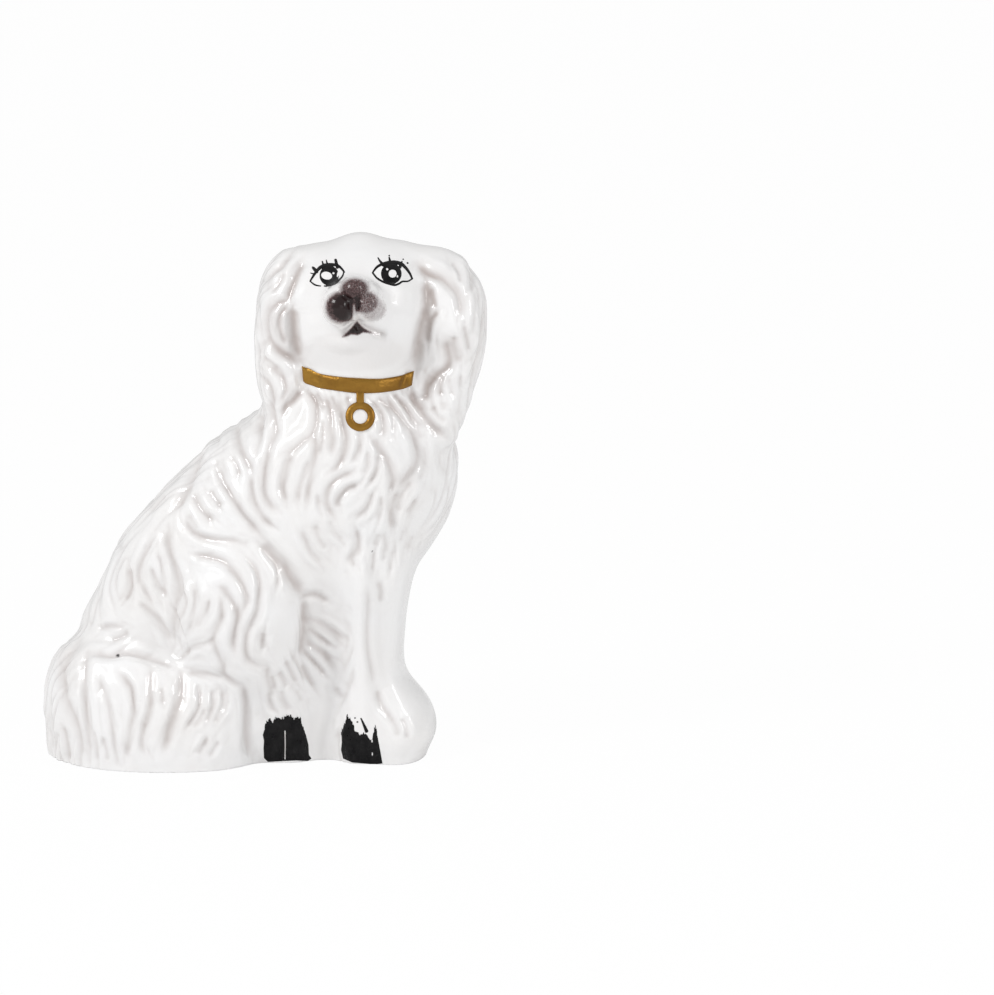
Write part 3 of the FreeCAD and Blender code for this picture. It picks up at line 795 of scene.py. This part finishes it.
# %% Tint on the skin
MUZZLE_OVAL = (356, 311, 35, 34)
MOUTH_OVAL = (360, 330, 26, 26)
# A paler line down the philtrum, partly a painted highlight on the edge of the lip.
PHILTRUM_OVAL = (353.8, 312, 2.2, 11)
PHILTRUM_TINT, MOUTH_TINT, SPECK_TINT = 0.4, 1.1, 1.2
TINTS = (
    (354.5, 289.0, 17, 13, 0.70),
    (341.0, 307.5, 18, 18, 0.85),
    (344.0, 307.5, 14, 16, 1.35),
    (365.5, 302.5, 16, 14, 0.64),
    (373.0, 309.0, 15, 14, 0.42),
    # These two rows darken the tint over the creases between the nose and the lips.
    (351.0, 297.0, 15, 12, 0.8),
    (357.0, 303.0, 5, 10, 1.1),
)
SPECKS = (118, 655.6, 1.6), (372, 551, 0.7)
MOUTH = (356.9, 321.5, 352, 327.5, 346, 333.5, 342.5, 337, 347, 336, 351, 334, 358, 334.8, 363, 332,
         370, 333, 362, 327)
# The lip line darkens the tint along the crease of the upper lip.
LIP_LINE = (361, 327.5, 367, 330.5, 374, 333.5, 381, 335)
tint = np.zeros(corner_count)
for x, y, half_width, half_height, strength in TINTS:
    out = off_centre(spots, x, y, half_width, half_height)
    tint = np.maximum(tint, strength * (1 - ramp(out, 0.62, 1.12)))
mouth = np.zeros(corner_count)
near_mouth = (off_centre(spots, *MOUTH_OVAL) < 1).nonzero()[0]
lip_line, along = distance_to_line(spots[near_mouth], eased_line(LIP_LINE))
mouth[near_mouth] = np.maximum(ramp(-patch(spots[near_mouth], MOUTH), -2.0, 1.8),
                               (0.75 - 0.45 * along) * ramp(-lip_line, -1.8, -0.2))
# The tint thins along the philtrum into a paler line, which is partly a painted highlight on the edge of
# the lip to the left in the picture.
bare_line_and_highlight = PHILTRUM_TINT + (1 - PHILTRUM_TINT) * ramp(off_centre(spots, *PHILTRUM_OVAL), 0.5, 1.3)
tint = np.maximum(tint * bare_line_and_highlight, MOUTH_TINT * mouth) * (carved[:, 1] < 0)
tint = around.softened(tint, 2, 0.5)
for x, y, radius in SPECKS:
    out = off_centre(spots, x, y, radius, radius)
    tint = np.maximum(tint, SPECK_TINT * (1 - ramp(out, 0.5, 1.4)) * (carved[:, 1] < 0))
on_muzzle = (off_centre(spots, *MUZZLE_OVAL) < 1) & (owner == 0) & (carved[:, 1] < 0)
owner[on_muzzle] = PARTED.index("muzzle_tint")
kept_values = {"pool": pool, "source": np.arange(corner_count), "owner": owner, "tint": tint}
for name, values in kept_values.items():
    attribute = skin_mesh.attributes.new(name, "FLOAT", "POINT")
    attribute.data.foreach_set("value", values.astype(np.float32))
print("densest tint", round(float(tint.max()), 2))

# %% [markdown]
# ## Parting the skin
# Each piece takes the faces whose corners are nearest to its node, and its outer corners keep the whole
# skin's normals, so that no joint shows. Its open rim is sunk into the figure and closed there. On the
# two shells the rim then turns to the seam plane, and the caps of the two ears close inside the head,
# so that no cap reaches the outside where a joint runs in a curve.

# %% Pieces of the skin
skin_normals = corner_array(skin_mesh, "normal")
SKIN_PIECES = {"front_shell": "front_coat", "back_shell": "back_coat", "right_ear": "right_ear_locks",
               "left_ear": "left_ear_locks", "tail": "tail_brush", "right_hind_paw": "hind_paw_hair",
               "right_foreleg": "near_foreleg", "left_foreleg": "far_foreleg",
               "muzzle_tint": "muzzle_skin"}
RIM_DEPTH = 3 * MM
INSIDE_HEAD = {"right_ear_locks": (0.045, 0.003, 0.250), "left_ear_locks": (0.062, 0.003, 0.250)}
LARGE_CAP = 100
SHELLS = ("front_coat", "back_coat")


def new_piece(mesh, name):
    form = bpy.data.objects.new(name, mesh)
    bpy.context.scene.collection.objects.link(form)
    return form


def smooth_piece(clay, name, sharp_from=None):
    """A piece with smooth faces, whose edges are sharp from an angle in degrees."""
    for face in clay.faces:
        face.smooth = True
    piece = new_piece(as_mesh(clay, name), name)
    if sharp_from:
        piece.data.set_sharp_from_angle(angle=math.radians(sharp_from))
    return piece


def is_vert(part):
    return isinstance(part, bmesh.types.BMVert)


def part_from_skin(number, name):
    """One closed piece of the skin."""
    clay = bmesh.new()
    clay.from_mesh(skin_mesh)
    layer = clay.verts.layers.float["owner"]
    others = [face for face in clay.faces if round(face.verts[0][layer]) != number]
    bmesh.ops.delete(clay, geom=others, context="FACES")
    feet = [corner for corner in clay.verts if corner.co.z < 1e-6]
    bmesh.ops.remove_doubles(clay, verts=feet, dist=0.3 * MM)
    source = clay.verts.layers.float["source"]
    rim = [edge for edge in clay.edges if edge.is_boundary]
    for to_seam in (False, True) if name in SHELLS else (False,):
        inner = bmesh.ops.extrude_edge_only(clay, edges=rim)["geom"]
        for corner in filter(is_vert, inner):
            sunk = corner.co - Vector(skin_normals[round(corner[source])]) * RIM_DEPTH
            corner.co = (sunk.x, seam if to_seam else sunk.y, max(sunk.z, 0))
        rim = [part for part in inner if isinstance(part, bmesh.types.BMEdge) and part.is_boundary]
    caps = bmesh.ops.holes_fill(clay, edges=rim, sides=0)["faces"]
    for centre in bmesh.ops.poke(clay, faces=caps)["verts"]:
        if name in INSIDE_HEAD and len(centre.link_edges) > LARGE_CAP:
            centre.co = INSIDE_HEAD[name]
    picked = skin_normals[[round(corner[source]) for corner in clay.verts]]
    piece = smooth_piece(clay, name)
    piece.data.normals_split_custom_set_from_vertices(picked)
    return piece


pieces = {}
for node_name, name in SKIN_PIECES.items():
    pieces[node_name] = part_from_skin(PARTED.index(node_name), name)
    pieces[node_name].data.calc_loop_triangles()
    print(name, len(pieces[node_name].data.loop_triangles), "triangles")

# %% [markdown]
# ## Enamel
# The painter lays thick black enamel over the glaze. Each patch starts as a fine grid over its place in
# the picture. An ink function says how far a spot is from the paint's edge, in pixels and below zero
# inside. Cells outside are deleted, the edge is drawn onto the outline, and what is left is laid on the
# skin along the viewer's sight and given a thickness.

# %% Laying a grid on the skin
whole_skin = new_piece(skin_mesh, "whole_skin")
skin_tree = BVHTree.FromObject(whole_skin, bpy.context.evaluated_depsgraph_get())
bpy.data.objects.remove(whole_skin)


def laid(spots, lift):
    """Spots of the picture laid on the skin, each lifted towards the viewer by so many millimetres."""
    places = []
    for (x, y), height in zip(spots, lift):
        ray = sight_ray(x, y)
        place = skin_tree.ray_cast(Vector(EYE_POINT), ray)[0]
        if place is None:
            place = skin_tree.find_nearest(Vector(EYE_POINT) + ray * SIGHT_DISTANCE)[0]
        places.append(place - ray * height * MM)
    return places


def grid_spots(clay, window):
    """A grid's corners as spots that fill a window of the picture."""
    flat = np.array([corner.co[:2] for corner in clay.verts])
    flat = (flat - flat.min(0)) / (flat.max(0) - flat.min(0))
    low, high = np.array(window[:2]), np.array(window[2:])
    return low + flat * (high - low)


def painted(name, window, cell, ink, lift=0.25, film=0.6):
    """A thin closed piece of enamel where ink is below zero."""
    clay = bmesh.new()
    columns, rows = (round((window[k + 2] - window[k]) / cell) for k in (0, 1))
    bmesh.ops.create_grid(clay, x_segments=columns, y_segments=rows, size=1)
    spots = grid_spots(clay, window)
    apart = ink(spots)
    slope = np.stack([(ink(spots + step) - ink(spots - step)) / cell for step in np.eye(2) * cell / 2], -1)
    drawn = slope * apart[:, None]
    drawn *= np.minimum(1, 1.1 * cell / np.linalg.norm(drawn, axis=1).clip(1e-9))[:, None]
    spots = np.where((apart > 0)[:, None], spots - drawn, spots)
    number = clay.verts.layers.int.new("number")
    for i, corner in enumerate(clay.verts):
        corner[number] = i
    clay.faces.ensure_lookup_table()
    gone = [face for face in clay.faces if all(apart[corner[number]] > 0 for corner in face.verts)]
    bmesh.ops.delete(clay, geom=gone, context="FACES")
    kept = [corner[number] for corner in clay.verts]
    height = lift * (0.3 + 0.7 * ramp(-apart[kept], 0, 1.5))
    for corner, place in zip(clay.verts, laid(spots[kept], height)):
        corner.co = place
    return thickened(clay, name, film)


def thickened(clay, name, thickness):
    """A sheet that faces the viewer, given a thickness in millimetres behind it, as a piece."""
    behind = bmesh.ops.extrude_face_region(clay, geom=clay.faces[:])["geom"]
    behind = list(filter(is_vert, behind))
    bmesh.ops.translate(clay, vec=-Vector(TOWARD_VIEWER) * thickness * MM, verts=behind)
    bmesh.ops.recalc_face_normals(clay, faces=clay.faces)
    if clay.calc_volume(signed=True) < 0:
        bmesh.ops.reverse_faces(clay, faces=clay.faces)
    piece = smooth_piece(clay, name, sharp_from=50)
    print(name, len(piece.data.polygons), "faces")
    return piece


# %% [markdown]
# ## Eyes
# The eyes are brush lines, dabs and a ring of enamel with the white left bare. Each ink shape gives the
# distance to its edge, and shapes are joined by taking the least.

# %% Brush marks
def brush(spots, flat, start, end=None, middle=None):
    """A brush line through points, with its half width at its start, middle and end."""
    end = start if end is None else end
    middle = (start + end) / 2 if middle is None else middle
    apart, along = distance_to_line(spots, eased_line(flat))
    return apart - np.interp(along, (0, 0.5, 1), (start, middle, end))


def blot(spots, x, y, half_width, half_height, turn=0):
    offset = spots - (x, y)
    c, s = math.cos(math.radians(turn)), math.sin(math.radians(turn))
    across, up = offset[:, 0] * c + offset[:, 1] * s, offset[:, 1] * c - offset[:, 0] * s
    return (np.hypot(across / half_width, up / half_height) - 1) * min(half_width, half_height)


def together(*shapes):
    return np.minimum.reduce(shapes)


print("a blot's middle lies", -blot(np.array(((5.0, 5.0),)), 5, 5, 2, 3)[0], "pixels inside it")


# %% Painted eyes
def right_eye_ink(spots):
    lids = together(
        brush(spots, (310.2, 281.2, 312, 278, 316, 272, 321, 267, 329, 264.8, 337, 265.3, 341.5, 268.5,
                      344.2, 272), 0.8, 0.9, 2.1),
        brush(spots, (343.8, 272, 342.5, 276, 339, 280, 334, 284, 327, 286, 324.5, 286), 0.7, 0.7, 1.2),
        brush(spots, (320.5, 286, 316, 285.2, 313, 283.6, 310.2, 281.2), 0.6, 0.6, 0.9))
    lashes = together(
        blot(spots, 315, 269.8, 4.3, 1.7, 48), brush(spots, (314, 274, 310.5, 273), 0.8, 0.4),
        brush(spots, (322.3, 261.5, 323.5, 265.5, 325.5, 269), 0.7, 1.6),
        brush(spots, (326.2, 260, 327.3, 264, 328.4, 267), 0.5, 1.5),
        brush(spots, (335.6, 260, 336.6, 264, 337.4, 267), 1.4, 1.7))
    iris = blot(spots, 329.2, 275.6, 9.6, 10)
    shine = together(blot(spots, 326.6, 275.6, 5.6, 3.9, 12), blot(spots, 333.4, 273.2, 1.1, 1.0),
                     blot(spots, 338.0, 274.0, 1.0, 3.4, 14))
    return together(lids, lashes, np.maximum(iris, -shine))


def left_eye_ink(spots):
    lids = together(
        brush(spots, (372.6, 272.8, 374.8, 269.5, 378, 266.2, 384, 263.6, 392, 262.4, 400, 263.4, 405, 267,
                      409.6, 273, 412.2, 278.6), 0.8, 0.9, 2.2),
        brush(spots, (372.8, 273, 377, 278, 383, 281.7, 390, 284, 395, 285, 399, 283.6, 402.5, 281.5, 408,
                      281.2, 412.2, 278.8), 0.9, 0.7, 1.2))
    lashes = together(
        brush(spots, (378, 257.8, 380, 261, 383.5, 265), 0.6, 1.7),
        brush(spots, (389.2, 257.5, 390, 261, 391.4, 264), 0.8, 1.7),
        brush(spots, (402, 261.5, 401, 264, 400, 267), 0.7, 1.6),
        blot(spots, 389.3, 255.6, 0.9, 0.8), blot(spots, 403.2, 259.2, 0.8, 0.7),
        blot(spots, 407.6, 263, 1.0, 0.9))
    iris = blot(spots, 391.3, 273.7, 10.3, 10.4)
    shine = together(blot(spots, 392.6, 273.6, 4.0, 4.0), blot(spots, 387.2, 269.2, 1.3, 1.0, 30),
                     blot(spots, 397.4, 276.3, 0.9, 1.3))
    return together(lids, lashes, np.maximum(iris, -shine))


EYE_CELL = 0.2
right_eye_paint = painted("right_eye_paint", (307, 257, 348, 289), EYE_CELL, right_eye_ink)
left_eye_paint = painted("left_eye_paint", (369, 253, 415, 288), EYE_CELL, left_eye_ink)

# %% [markdown]
# ## Black toes
# A flat brush pulled down the paw leaves a ragged upper edge, dry streaks and a thin bare line.

# %% Toe paint
HIND_OUTLINE = (265, 724, 268, 719, 272, 720, 276, 717, 281, 719, 285, 716, 290, 715.5, 294, 717.5,
                297, 716, 301, 719, 303.5, 727, 306, 735, 308.5, 745, 309, 755, 311.5, 758.5, 308, 761,
                296, 760.5,
                281, 761.2, 268, 762, 264, 758, 263.5, 748, 264, 741, 262.8, 735, 263.8, 729)
FORE_OUTLINE = (342.5, 726, 345, 719, 347.5, 715, 350, 719, 352.5, 724, 355, 731, 360, 735, 364, 733,
                368, 736, 370, 740, 372.5, 739, 374, 731, 375.2, 725.5, 377, 733, 379, 744, 381, 755,
                382.5, 763.5, 374, 764.5, 364, 763.5, 352, 762.5, 343, 758.5, 341, 750, 341.8, 742,
                340.8, 733)


def ragged(spots, seed, amount):
    """Fine upright streaks that wear an edge away, as a dry brush does."""
    streak = np.random.default_rng(seed).normal(size=400)
    level = np.interp(spots[:, 0] * 2.2 % 400, np.arange(400), streak)
    return amount * (level + 0.6 * np.interp(spots[:, 0] * 0.8 % 400, np.arange(400), streak[::-1]))


def hind_toe_ink(spots):
    wear = ragged(spots, 3, 1.3) * (1 - ramp(spots[:, 1], 722, 736))
    line = brush(spots, (285, 731, 285.2, 745, 285, 759), 0.5)
    return np.maximum(patch(spots, HIND_OUTLINE) + wear.clip(-1.2, 3), -line)


def fore_toe_ink(spots):
    wear = ragged(spots, 4, 1.2) * (1 - ramp(spots[:, 1], 722, 745))
    body = patch(spots, FORE_OUTLINE) + wear.clip(-1.0, 3)
    finger = brush(spots, (361, 718.5, 363.5, 724, 366.5, 731), 0.7, 1.8)
    dots = together(blot(spots, 355, 718, 0.8, 0.7), blot(spots, 357.4, 722, 0.9, 0.8))
    nicks = together(blot(spots, 372, 741, 0.7, 1.8), blot(spots, 372.3, 754, 0.6, 2.2))
    return np.maximum(together(body, finger, dots), -nicks)


TOE_CELL = 0.33
hind_toe_paint = painted("hind_toe_paint", (260, 712, 314, 766), TOE_CELL, hind_toe_ink)
fore_toe_paint = painted("fore_toe_paint", (338, 712, 385, 767), TOE_CELL, fore_toe_ink)

# %% [markdown]
# ## Gilt collar and locket
# The collar is a raised band pressed with the neck and gilded. It is a grid between its two edges in
# the picture, lifted most along its middle. The locket is a ring turned with spin, on a short stem.

# %% Collar
COLLAR_TOP = (301.5, 365, 305, 366.5, 310, 368, 320, 373, 340, 376, 357, 377.2, 380, 378, 400, 375,
              408, 372, 414.5, 370)
COLLAR_BOTTOM = (303, 382, 306, 384.5, 312, 386.5, 320, 389, 340, 392, 357, 394, 380, 393.5, 400, 390.5,
                 408, 388, 412, 386)
COLLAR_EDGE, COLLAR_CROWN, COLLAR_THICKNESS = -0.2, 2.4, 1.4
COLLAR_PASSES = 6
clay = bmesh.new()
bmesh.ops.create_grid(clay, x_segments=150, y_segments=14, size=1)
share = grid_spots(clay, (0, 0, 1, 1))
edges = []
for line in (eased_line(COLLAR_TOP), eased_line(COLLAR_BOTTOM)):
    along = np.linspace(0, 1, len(line))
    edges.append(np.stack([np.interp(share[:, 0], along, line[:, k]) for k in (0, 1)], -1))
spots = edges[0] * (1 - share[:, 1:]) + edges[1] * share[:, 1:]
crown = (1 - np.abs(2 * share[:, 1] - 1) ** 2.4) ** 0.5
fade = ramp(share[:, 0], -0.01, 0.04) * ramp(1 - share[:, 0], -0.01, 0.04)
for corner, place in zip(clay.verts, laid(spots, COLLAR_EDGE + COLLAR_CROWN * crown * fade)):
    corner.co = place
for _ in range(COLLAR_PASSES):
    bmesh.ops.smooth_vert(clay, verts=clay.verts, factor=0.5,
                          use_axis_x=True, use_axis_y=True, use_axis_z=True)
collar_band = thickened(clay, "collar_band", COLLAR_THICKNESS)

# %% Locket
LOCKET_SPOT = (360.2, 416.6)
LOCKET_RADIUS, LOCKET_HOLE, LOCKET_HALF_DEPTH = 8.5 * MM, 4.1 * MM, 1.15 * MM
LOCKET_LIFT = 0.5 * MM
STEM_SIZE = (4.4 * MM, 6.5 * MM, 1.7 * MM)
STEM_AWAY, STEM_BEVEL = 2.4 * MM, 0.6 * MM
SEATS, SEATS_AWAY = 12, 13
turns = np.arange(SEATS) * math.tau / SEATS
around_locket = LOCKET_SPOT + SEATS_AWAY * np.stack((np.cos(turns), np.sin(turns)), -1)
seats = np.array(laid(around_locket, [0] * SEATS))
middle = seats.mean(0)
outward = np.linalg.svd(seats - middle)[2][2]
outward = outward * np.sign(outward @ TOWARD_VIEWER)
right = np.cross(PICTURE_UP, outward)
right /= np.linalg.norm(right)
high = np.cross(outward, right)
clay = bmesh.new()
section = bmesh.ops.create_circle(clay, cap_ends=False, radius=1, segments=14)["verts"]
half = (LOCKET_RADIUS - LOCKET_HOLE) / 2
for corner in section:
    corner.co = ((LOCKET_RADIUS + LOCKET_HOLE) / 2 + corner.co.x * half, 0,
                 corner.co.y * LOCKET_HALF_DEPTH)
bmesh.ops.spin(clay, geom=section + clay.edges[:], cent=(0, 0, 0), axis=(0, 0, 1), angle=math.tau,
               steps=72, use_merge=True)
stem = bmesh.ops.create_cube(clay, size=1)["verts"]
bmesh.ops.scale(clay, vec=STEM_SIZE, verts=stem)
bmesh.ops.translate(clay, vec=(0, LOCKET_RADIUS + STEM_AWAY, 0), verts=stem)
stem_edges = list({edge for corner in stem for edge in corner.link_edges})
bmesh.ops.bevel(clay, geom=stem_edges, offset=STEM_BEVEL, segments=3, affect="EDGES", profile=0.5,
                material=-1)
centre = middle + outward * LOCKET_LIFT
for corner in clay.verts:
    x, y, z = corner.co
    corner.co = Vector(centre + right * x + high * y + outward * z)
bmesh.ops.recalc_face_normals(clay, faces=clay.faces)
locket_ring = smooth_piece(clay, "locket_ring", sharp_from=60)
print("locket of", len(locket_ring.data.polygons), "faces")

# %% [markdown]
# ## Glaze
# The glaze is milky and glossy. It runs thin over the ridges and pools in the valleys, where it looks
# warm grey. Its colour reads the attribute that the carving left on each corner, which holds that pooled
# glaze together with painted shade in the hollows, under the collar, beside the ears, under the chin and
# on the belly.

# %% Material helpers
def settle(made, **values):
    """Sets a node's sockets, whose names are written with _ for a space, or else its properties."""
    for key, value in values.items():
        socket = made.inputs.get(key.replace("_", " "))
        if socket is None:
            setattr(made, key, value)
        else:
            socket.default_value = value


def node(tree, kind, **values):
    made = tree.nodes.new("ShaderNode" + kind)
    settle(made, **values)
    return made


def new_material(name):
    material = bpy.data.materials.new(name)
    material.use_nodes = True
    tree = material.node_tree
    return material, tree, tree.nodes["Principled BSDF"]


def mixed(tree, factor, first, second):
    """A colour mix; each side is a colour or a socket."""
    mix = node(tree, "Mix", data_type="RGBA")
    tree.links.new(factor, mix.inputs["Factor"])
    for socket, value in ((mix.inputs[6], first), (mix.inputs[7], second)):
        if isinstance(value, tuple):
            socket.default_value = (*value, 1)
        else:
            tree.links.new(value, socket)
    return mix.outputs[2]


def mapped(tree, value, **ends):
    """A socket's value spread anew, from 0 and 1 and to 0 and 1 where no other end is given."""
    spread = node(tree, "MapRange", **ends)
    tree.links.new(value, spread.inputs["Value"])
    return spread.outputs[0]


def summed(tree, value, factor, more):
    """A socket's value times a factor, plus a number or another socket."""
    total = node(tree, "Math", operation="MULTIPLY_ADD")
    tree.links.new(value, total.inputs[0])
    total.inputs[1].default_value = factor
    if isinstance(more, float):
        total.inputs[2].default_value = more
    else:
        tree.links.new(more, total.inputs[2])
    return total.outputs[0]


def kept(tree, name):
    """What the skin keeps at its corners under an attribute's name."""
    return node(tree, "Attribute", attribute_name=name).outputs["Fac"]


def noise(tree, scale, detail=2.0, low=0.3, high=0.7):
    """Noise on the figure's own coordinates, spread between 0 and 1."""
    grain = node(tree, "TexNoise", Scale=scale, Detail=detail)
    tree.links.new(node(tree, "TexCoord").outputs["Object"], grain.inputs["Vector"])
    return mapped(tree, grain.outputs["Fac"], From_Min=low, From_Max=high)


def bumped(tree, shader, height, distance, strength=1.0):
    bump = node(tree, "Bump", Strength=strength, Distance=distance)
    tree.links.new(height, bump.inputs["Height"])
    tree.links.new(bump.outputs[0], shader.inputs["Normal"])


def mottled(name, grain, first, second, **values):
    """A material whose colour wanders between two with a noise of a given grain."""
    material, tree, shader = new_material(name)
    tree.links.new(mixed(tree, noise(tree, *grain), first, second), shader.inputs["Base Color"])
    settle(shader, **values)
    return material, tree, shader


print("helpers for materials made")

# %% Glaze
GLAZE_WHITE, GLAZE_CREAM = (0.86, 0.86, 0.865), (0.835, 0.825, 0.82)
# The warm grey of pooled glaze, also used as painted shade.
POOLED_GLAZE_AND_SHADE = (0.47, 0.415, 0.395)
SPECK_COLOUR = (0.02, 0.018, 0.018)
GLAZE_SPECULAR, GLAZE_COAT = 0.5, 0.8


def glaze_base(tree, shader):
    """The white glaze's colour, as a socket, with its gloss set on the shader."""
    settle(shader, Roughness=0.3, Coat_Weight=GLAZE_COAT, Coat_Roughness=0.03)
    bumped(tree, shader, noise(tree, 110), 0.00035, 0.5)
    white = mixed(tree, noise(tree, 28, 3), GLAZE_WHITE, GLAZE_CREAM)
    # The warm grey of pooled glaze and painted shade is mixed in here.
    return mixed(tree, kept(tree, "pool"), white, POOLED_GLAZE_AND_SHADE)


glaze, tree, shader = new_material("milky_glaze")
specked = mixed(tree, kept(tree, "tint"), glaze_base(tree, shader), SPECK_COLOUR)
tree.links.new(specked, shader.inputs["Base Color"])
for name, piece in pieces.items():
    if name != "muzzle_tint":
        piece.data.materials.append(glaze)
print("glaze on", len(pieces) - 1, "pieces")

# %% [markdown]
# ## The muzzle's finish
# Under the same glaze the sponged tint is a mass of fine dots: dense and nearly black in the middle of
# each dab, brown and broken at its rim. Noise is added to the kept tint, and the sum is cut twice, once
# for the colour and once for the cover. The tint also takes some of the shine away.

# %% Muzzle tint
TINT_DARK, TINT_PALE = (0.014, 0.006, 0.006), (0.15, 0.09, 0.09)
TINT_SPECULAR, TINT_COAT = 0.1, 0.5
GRAIN_SHARE, SPECKLE_SHARE, SPECKLE_SINK = 0.46, 0.26, -0.10
muzzle_glaze, tree, shader = new_material("tinted_muzzle")
base = glaze_base(tree, shader)
tint = kept(tree, "tint")
density = summed(tree, noise(tree, 950, 4), GRAIN_SHARE, tint)
tint_colour = mixed(tree, mapped(tree, density, From_Min=0.60, From_Max=1.25), TINT_PALE, TINT_DARK)
speckle = summed(tree, noise(tree, 1250, 3, 0.25, 0.75), SPECKLE_SHARE, SPECKLE_SINK)
cover = mapped(tree, summed(tree, tint, 1.0, speckle), From_Min=0.12, From_Max=0.72)
tree.links.new(mixed(tree, cover, base, tint_colour), shader.inputs["Base Color"])
for socket, plain, tinted in (("Specular IOR Level", GLAZE_SPECULAR, TINT_SPECULAR),
                              ("Coat Weight", GLAZE_COAT, TINT_COAT)):
    tree.links.new(mapped(tree, cover, To_Min=plain, To_Max=tinted), shader.inputs[socket])
pieces["muzzle_tint"].data.materials.append(muzzle_glaze)
print("muzzle of", len(tree.nodes), "nodes")

# %% [markdown]
# ## Enamel, gilding and bare clay
# Black enamel is glossy with a faint brush grain. The gilding is thin and worn, so its gold wanders
# towards brown and its gloss changes from place to place. The slab under the foot is unglazed, matt and
# dusty.

# %% Black, gold and clay
black, tree, shader = mottled("black_enamel_paint", (240, 3), (0.003, 0.003, 0.0035),
                              (0.012, 0.0115, 0.012), Roughness=0.22, Specular_IOR_Level=0.13)
bumped(tree, shader, noise(tree, 900, 3), 0.00006)
gold, tree, shader = mottled("worn_gilding", (60, 4, 0.25, 0.75), (0.37, 0.20, 0.033),
                             (0.22, 0.105, 0.015), Metallic=0.8)
rough = mapped(tree, noise(tree, 260, 3), To_Min=0.30, To_Max=0.46)
tree.links.new(rough, shader.inputs["Roughness"])
bumped(tree, shader, noise(tree, 500, 3), 0.00012)
for finish, painted_pieces in ((black, (right_eye_paint, left_eye_paint, hind_toe_paint, fore_toe_paint)),
                               (gold, (collar_band, locket_ring))):
    for piece in painted_pieces:
        piece.data.materials.append(finish)
bare_clay, tree, shader = mottled("unglazed_clay", (160, 5), (0.62, 0.58, 0.52), (0.50, 0.455, 0.40),
                                  Roughness=0.92)
bumped(tree, shader, noise(tree, 700, 5), 0.0002)
for slot in nodes["base_slab"].material_slots:
    slot.material = bare_clay
print("enamel, gilding and clay finished")

# %% [markdown]
# ## Each piece in place of its node
# Every piece rides on the figure and hides its own node. Each row also names a finish, which nothing here
# uses.

# %% Pieces on the frame
STANDS_FOR = [(piece, node_name, "brown_enamel" if node_name == "muzzle_tint" else "white_glaze")
              for node_name, piece in pieces.items()]
STANDS_FOR += [(right_eye_paint, "right_eye", "black_enamel"), (left_eye_paint, "left_eye", "black_enamel"),
               (hind_toe_paint, "hind_toe_enamel", "black_enamel"),
               (fore_toe_paint, "fore_toe_enamel", "black_enamel"),
               (collar_band, "collar", "gilding"), (locket_ring, "locket", "gilding")]
for piece, node_name, finish in STANDS_FOR:
    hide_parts(node_name)
    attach(piece, "root")
print("pieces", len(STANDS_FOR))

# %% [markdown]
# ## Room and light
# The figure stands on a pale floor under an even sky. Both look white to the camera alone, by its own
# rays, and give the figure less light than that. Two soft boxes draw the long bright streaks on the
# locks, and a weak one fills the belly's shade.

# %% Floor and sky
FLOOR_SIZE = 4
FLOOR_GLOW = 0.97
SKY_STRENGTH = 0.63


def white_to_camera(tree, plain, glow, share, output):
    """Shows the camera a share of a glow over what a floor or sky plainly is."""
    path, blend = node(tree, "LightPath"), node(tree, "MixShader")
    part = node(tree, "Math", operation="MULTIPLY")
    part.inputs[1].default_value = share
    tree.links.new(path.outputs["Is Camera Ray"], part.inputs[0])
    for socket, source in zip(blend.inputs, (part, plain, glow)):
        tree.links.new(source.outputs[0], socket)
    tree.links.new(blend.outputs[0], output.inputs[0])


floor_clay = bmesh.new()
bmesh.ops.create_grid(floor_clay, x_segments=1, y_segments=1, size=FLOOR_SIZE)
floor = new_piece(as_mesh(floor_clay, "floor"), "floor")
paper, tree, shader = new_material("pale_paper")
settle(shader, Base_Color=(0.9, 0.9, 0.9, 1), Roughness=0.9)
glow = node(tree, "Emission", Color=(1, 1, 1, 1), Strength=1.0)
white_to_camera(tree, shader, glow, FLOOR_GLOW, tree.nodes["Material Output"])
floor.data.materials.append(paper)

world = bpy.data.worlds.new("studio")
bpy.context.scene.world = world
world.use_nodes = True
tree = world.node_tree
sky = tree.nodes["Background"]
settle(sky, Color=(1.0, 0.995, 0.99, 1), Strength=SKY_STRENGTH)
backdrop = node(tree, "Background", Color=(1, 1, 1, 1), Strength=1.0)
white_to_camera(tree, sky, backdrop, 1.0, tree.nodes["World Output"])
print("floor glows", FLOOR_GLOW, "and sky shines", SKY_STRENGTH)

# %% Lamps
SOFTBOXES = (
    ("left_softbox", (-1.1, -0.9, 1.25), (0, 0, 0.15), (0.45, 0.7), 13),
    ("low_fill", (0.3, -1.5, 0.3), (0.02, 0, 0.06), (0.9, 0.5), 0.9),
    ("right_softbox", (1.2, -0.8, 0.8), (0, 0, 0.15), (0.25, 0.7), 5),
)
for name, place, aim, size, power in SOFTBOXES:
    lamp = bpy.data.lights.new(name, "AREA")
    lamp.shape = "RECTANGLE"
    lamp.size, lamp.size_y = size
    lamp.energy = power
    box = bpy.data.objects.new(name, lamp)
    box.location = place
    box.rotation_euler = (Vector(aim) - Vector(place)).to_track_quat("-Z", "Y").to_euler()
    bpy.context.scene.collection.objects.link(box)
bpy.context.scene.view_settings.view_transform = "Standard"
print(len(SOFTBOXES), "lamps")
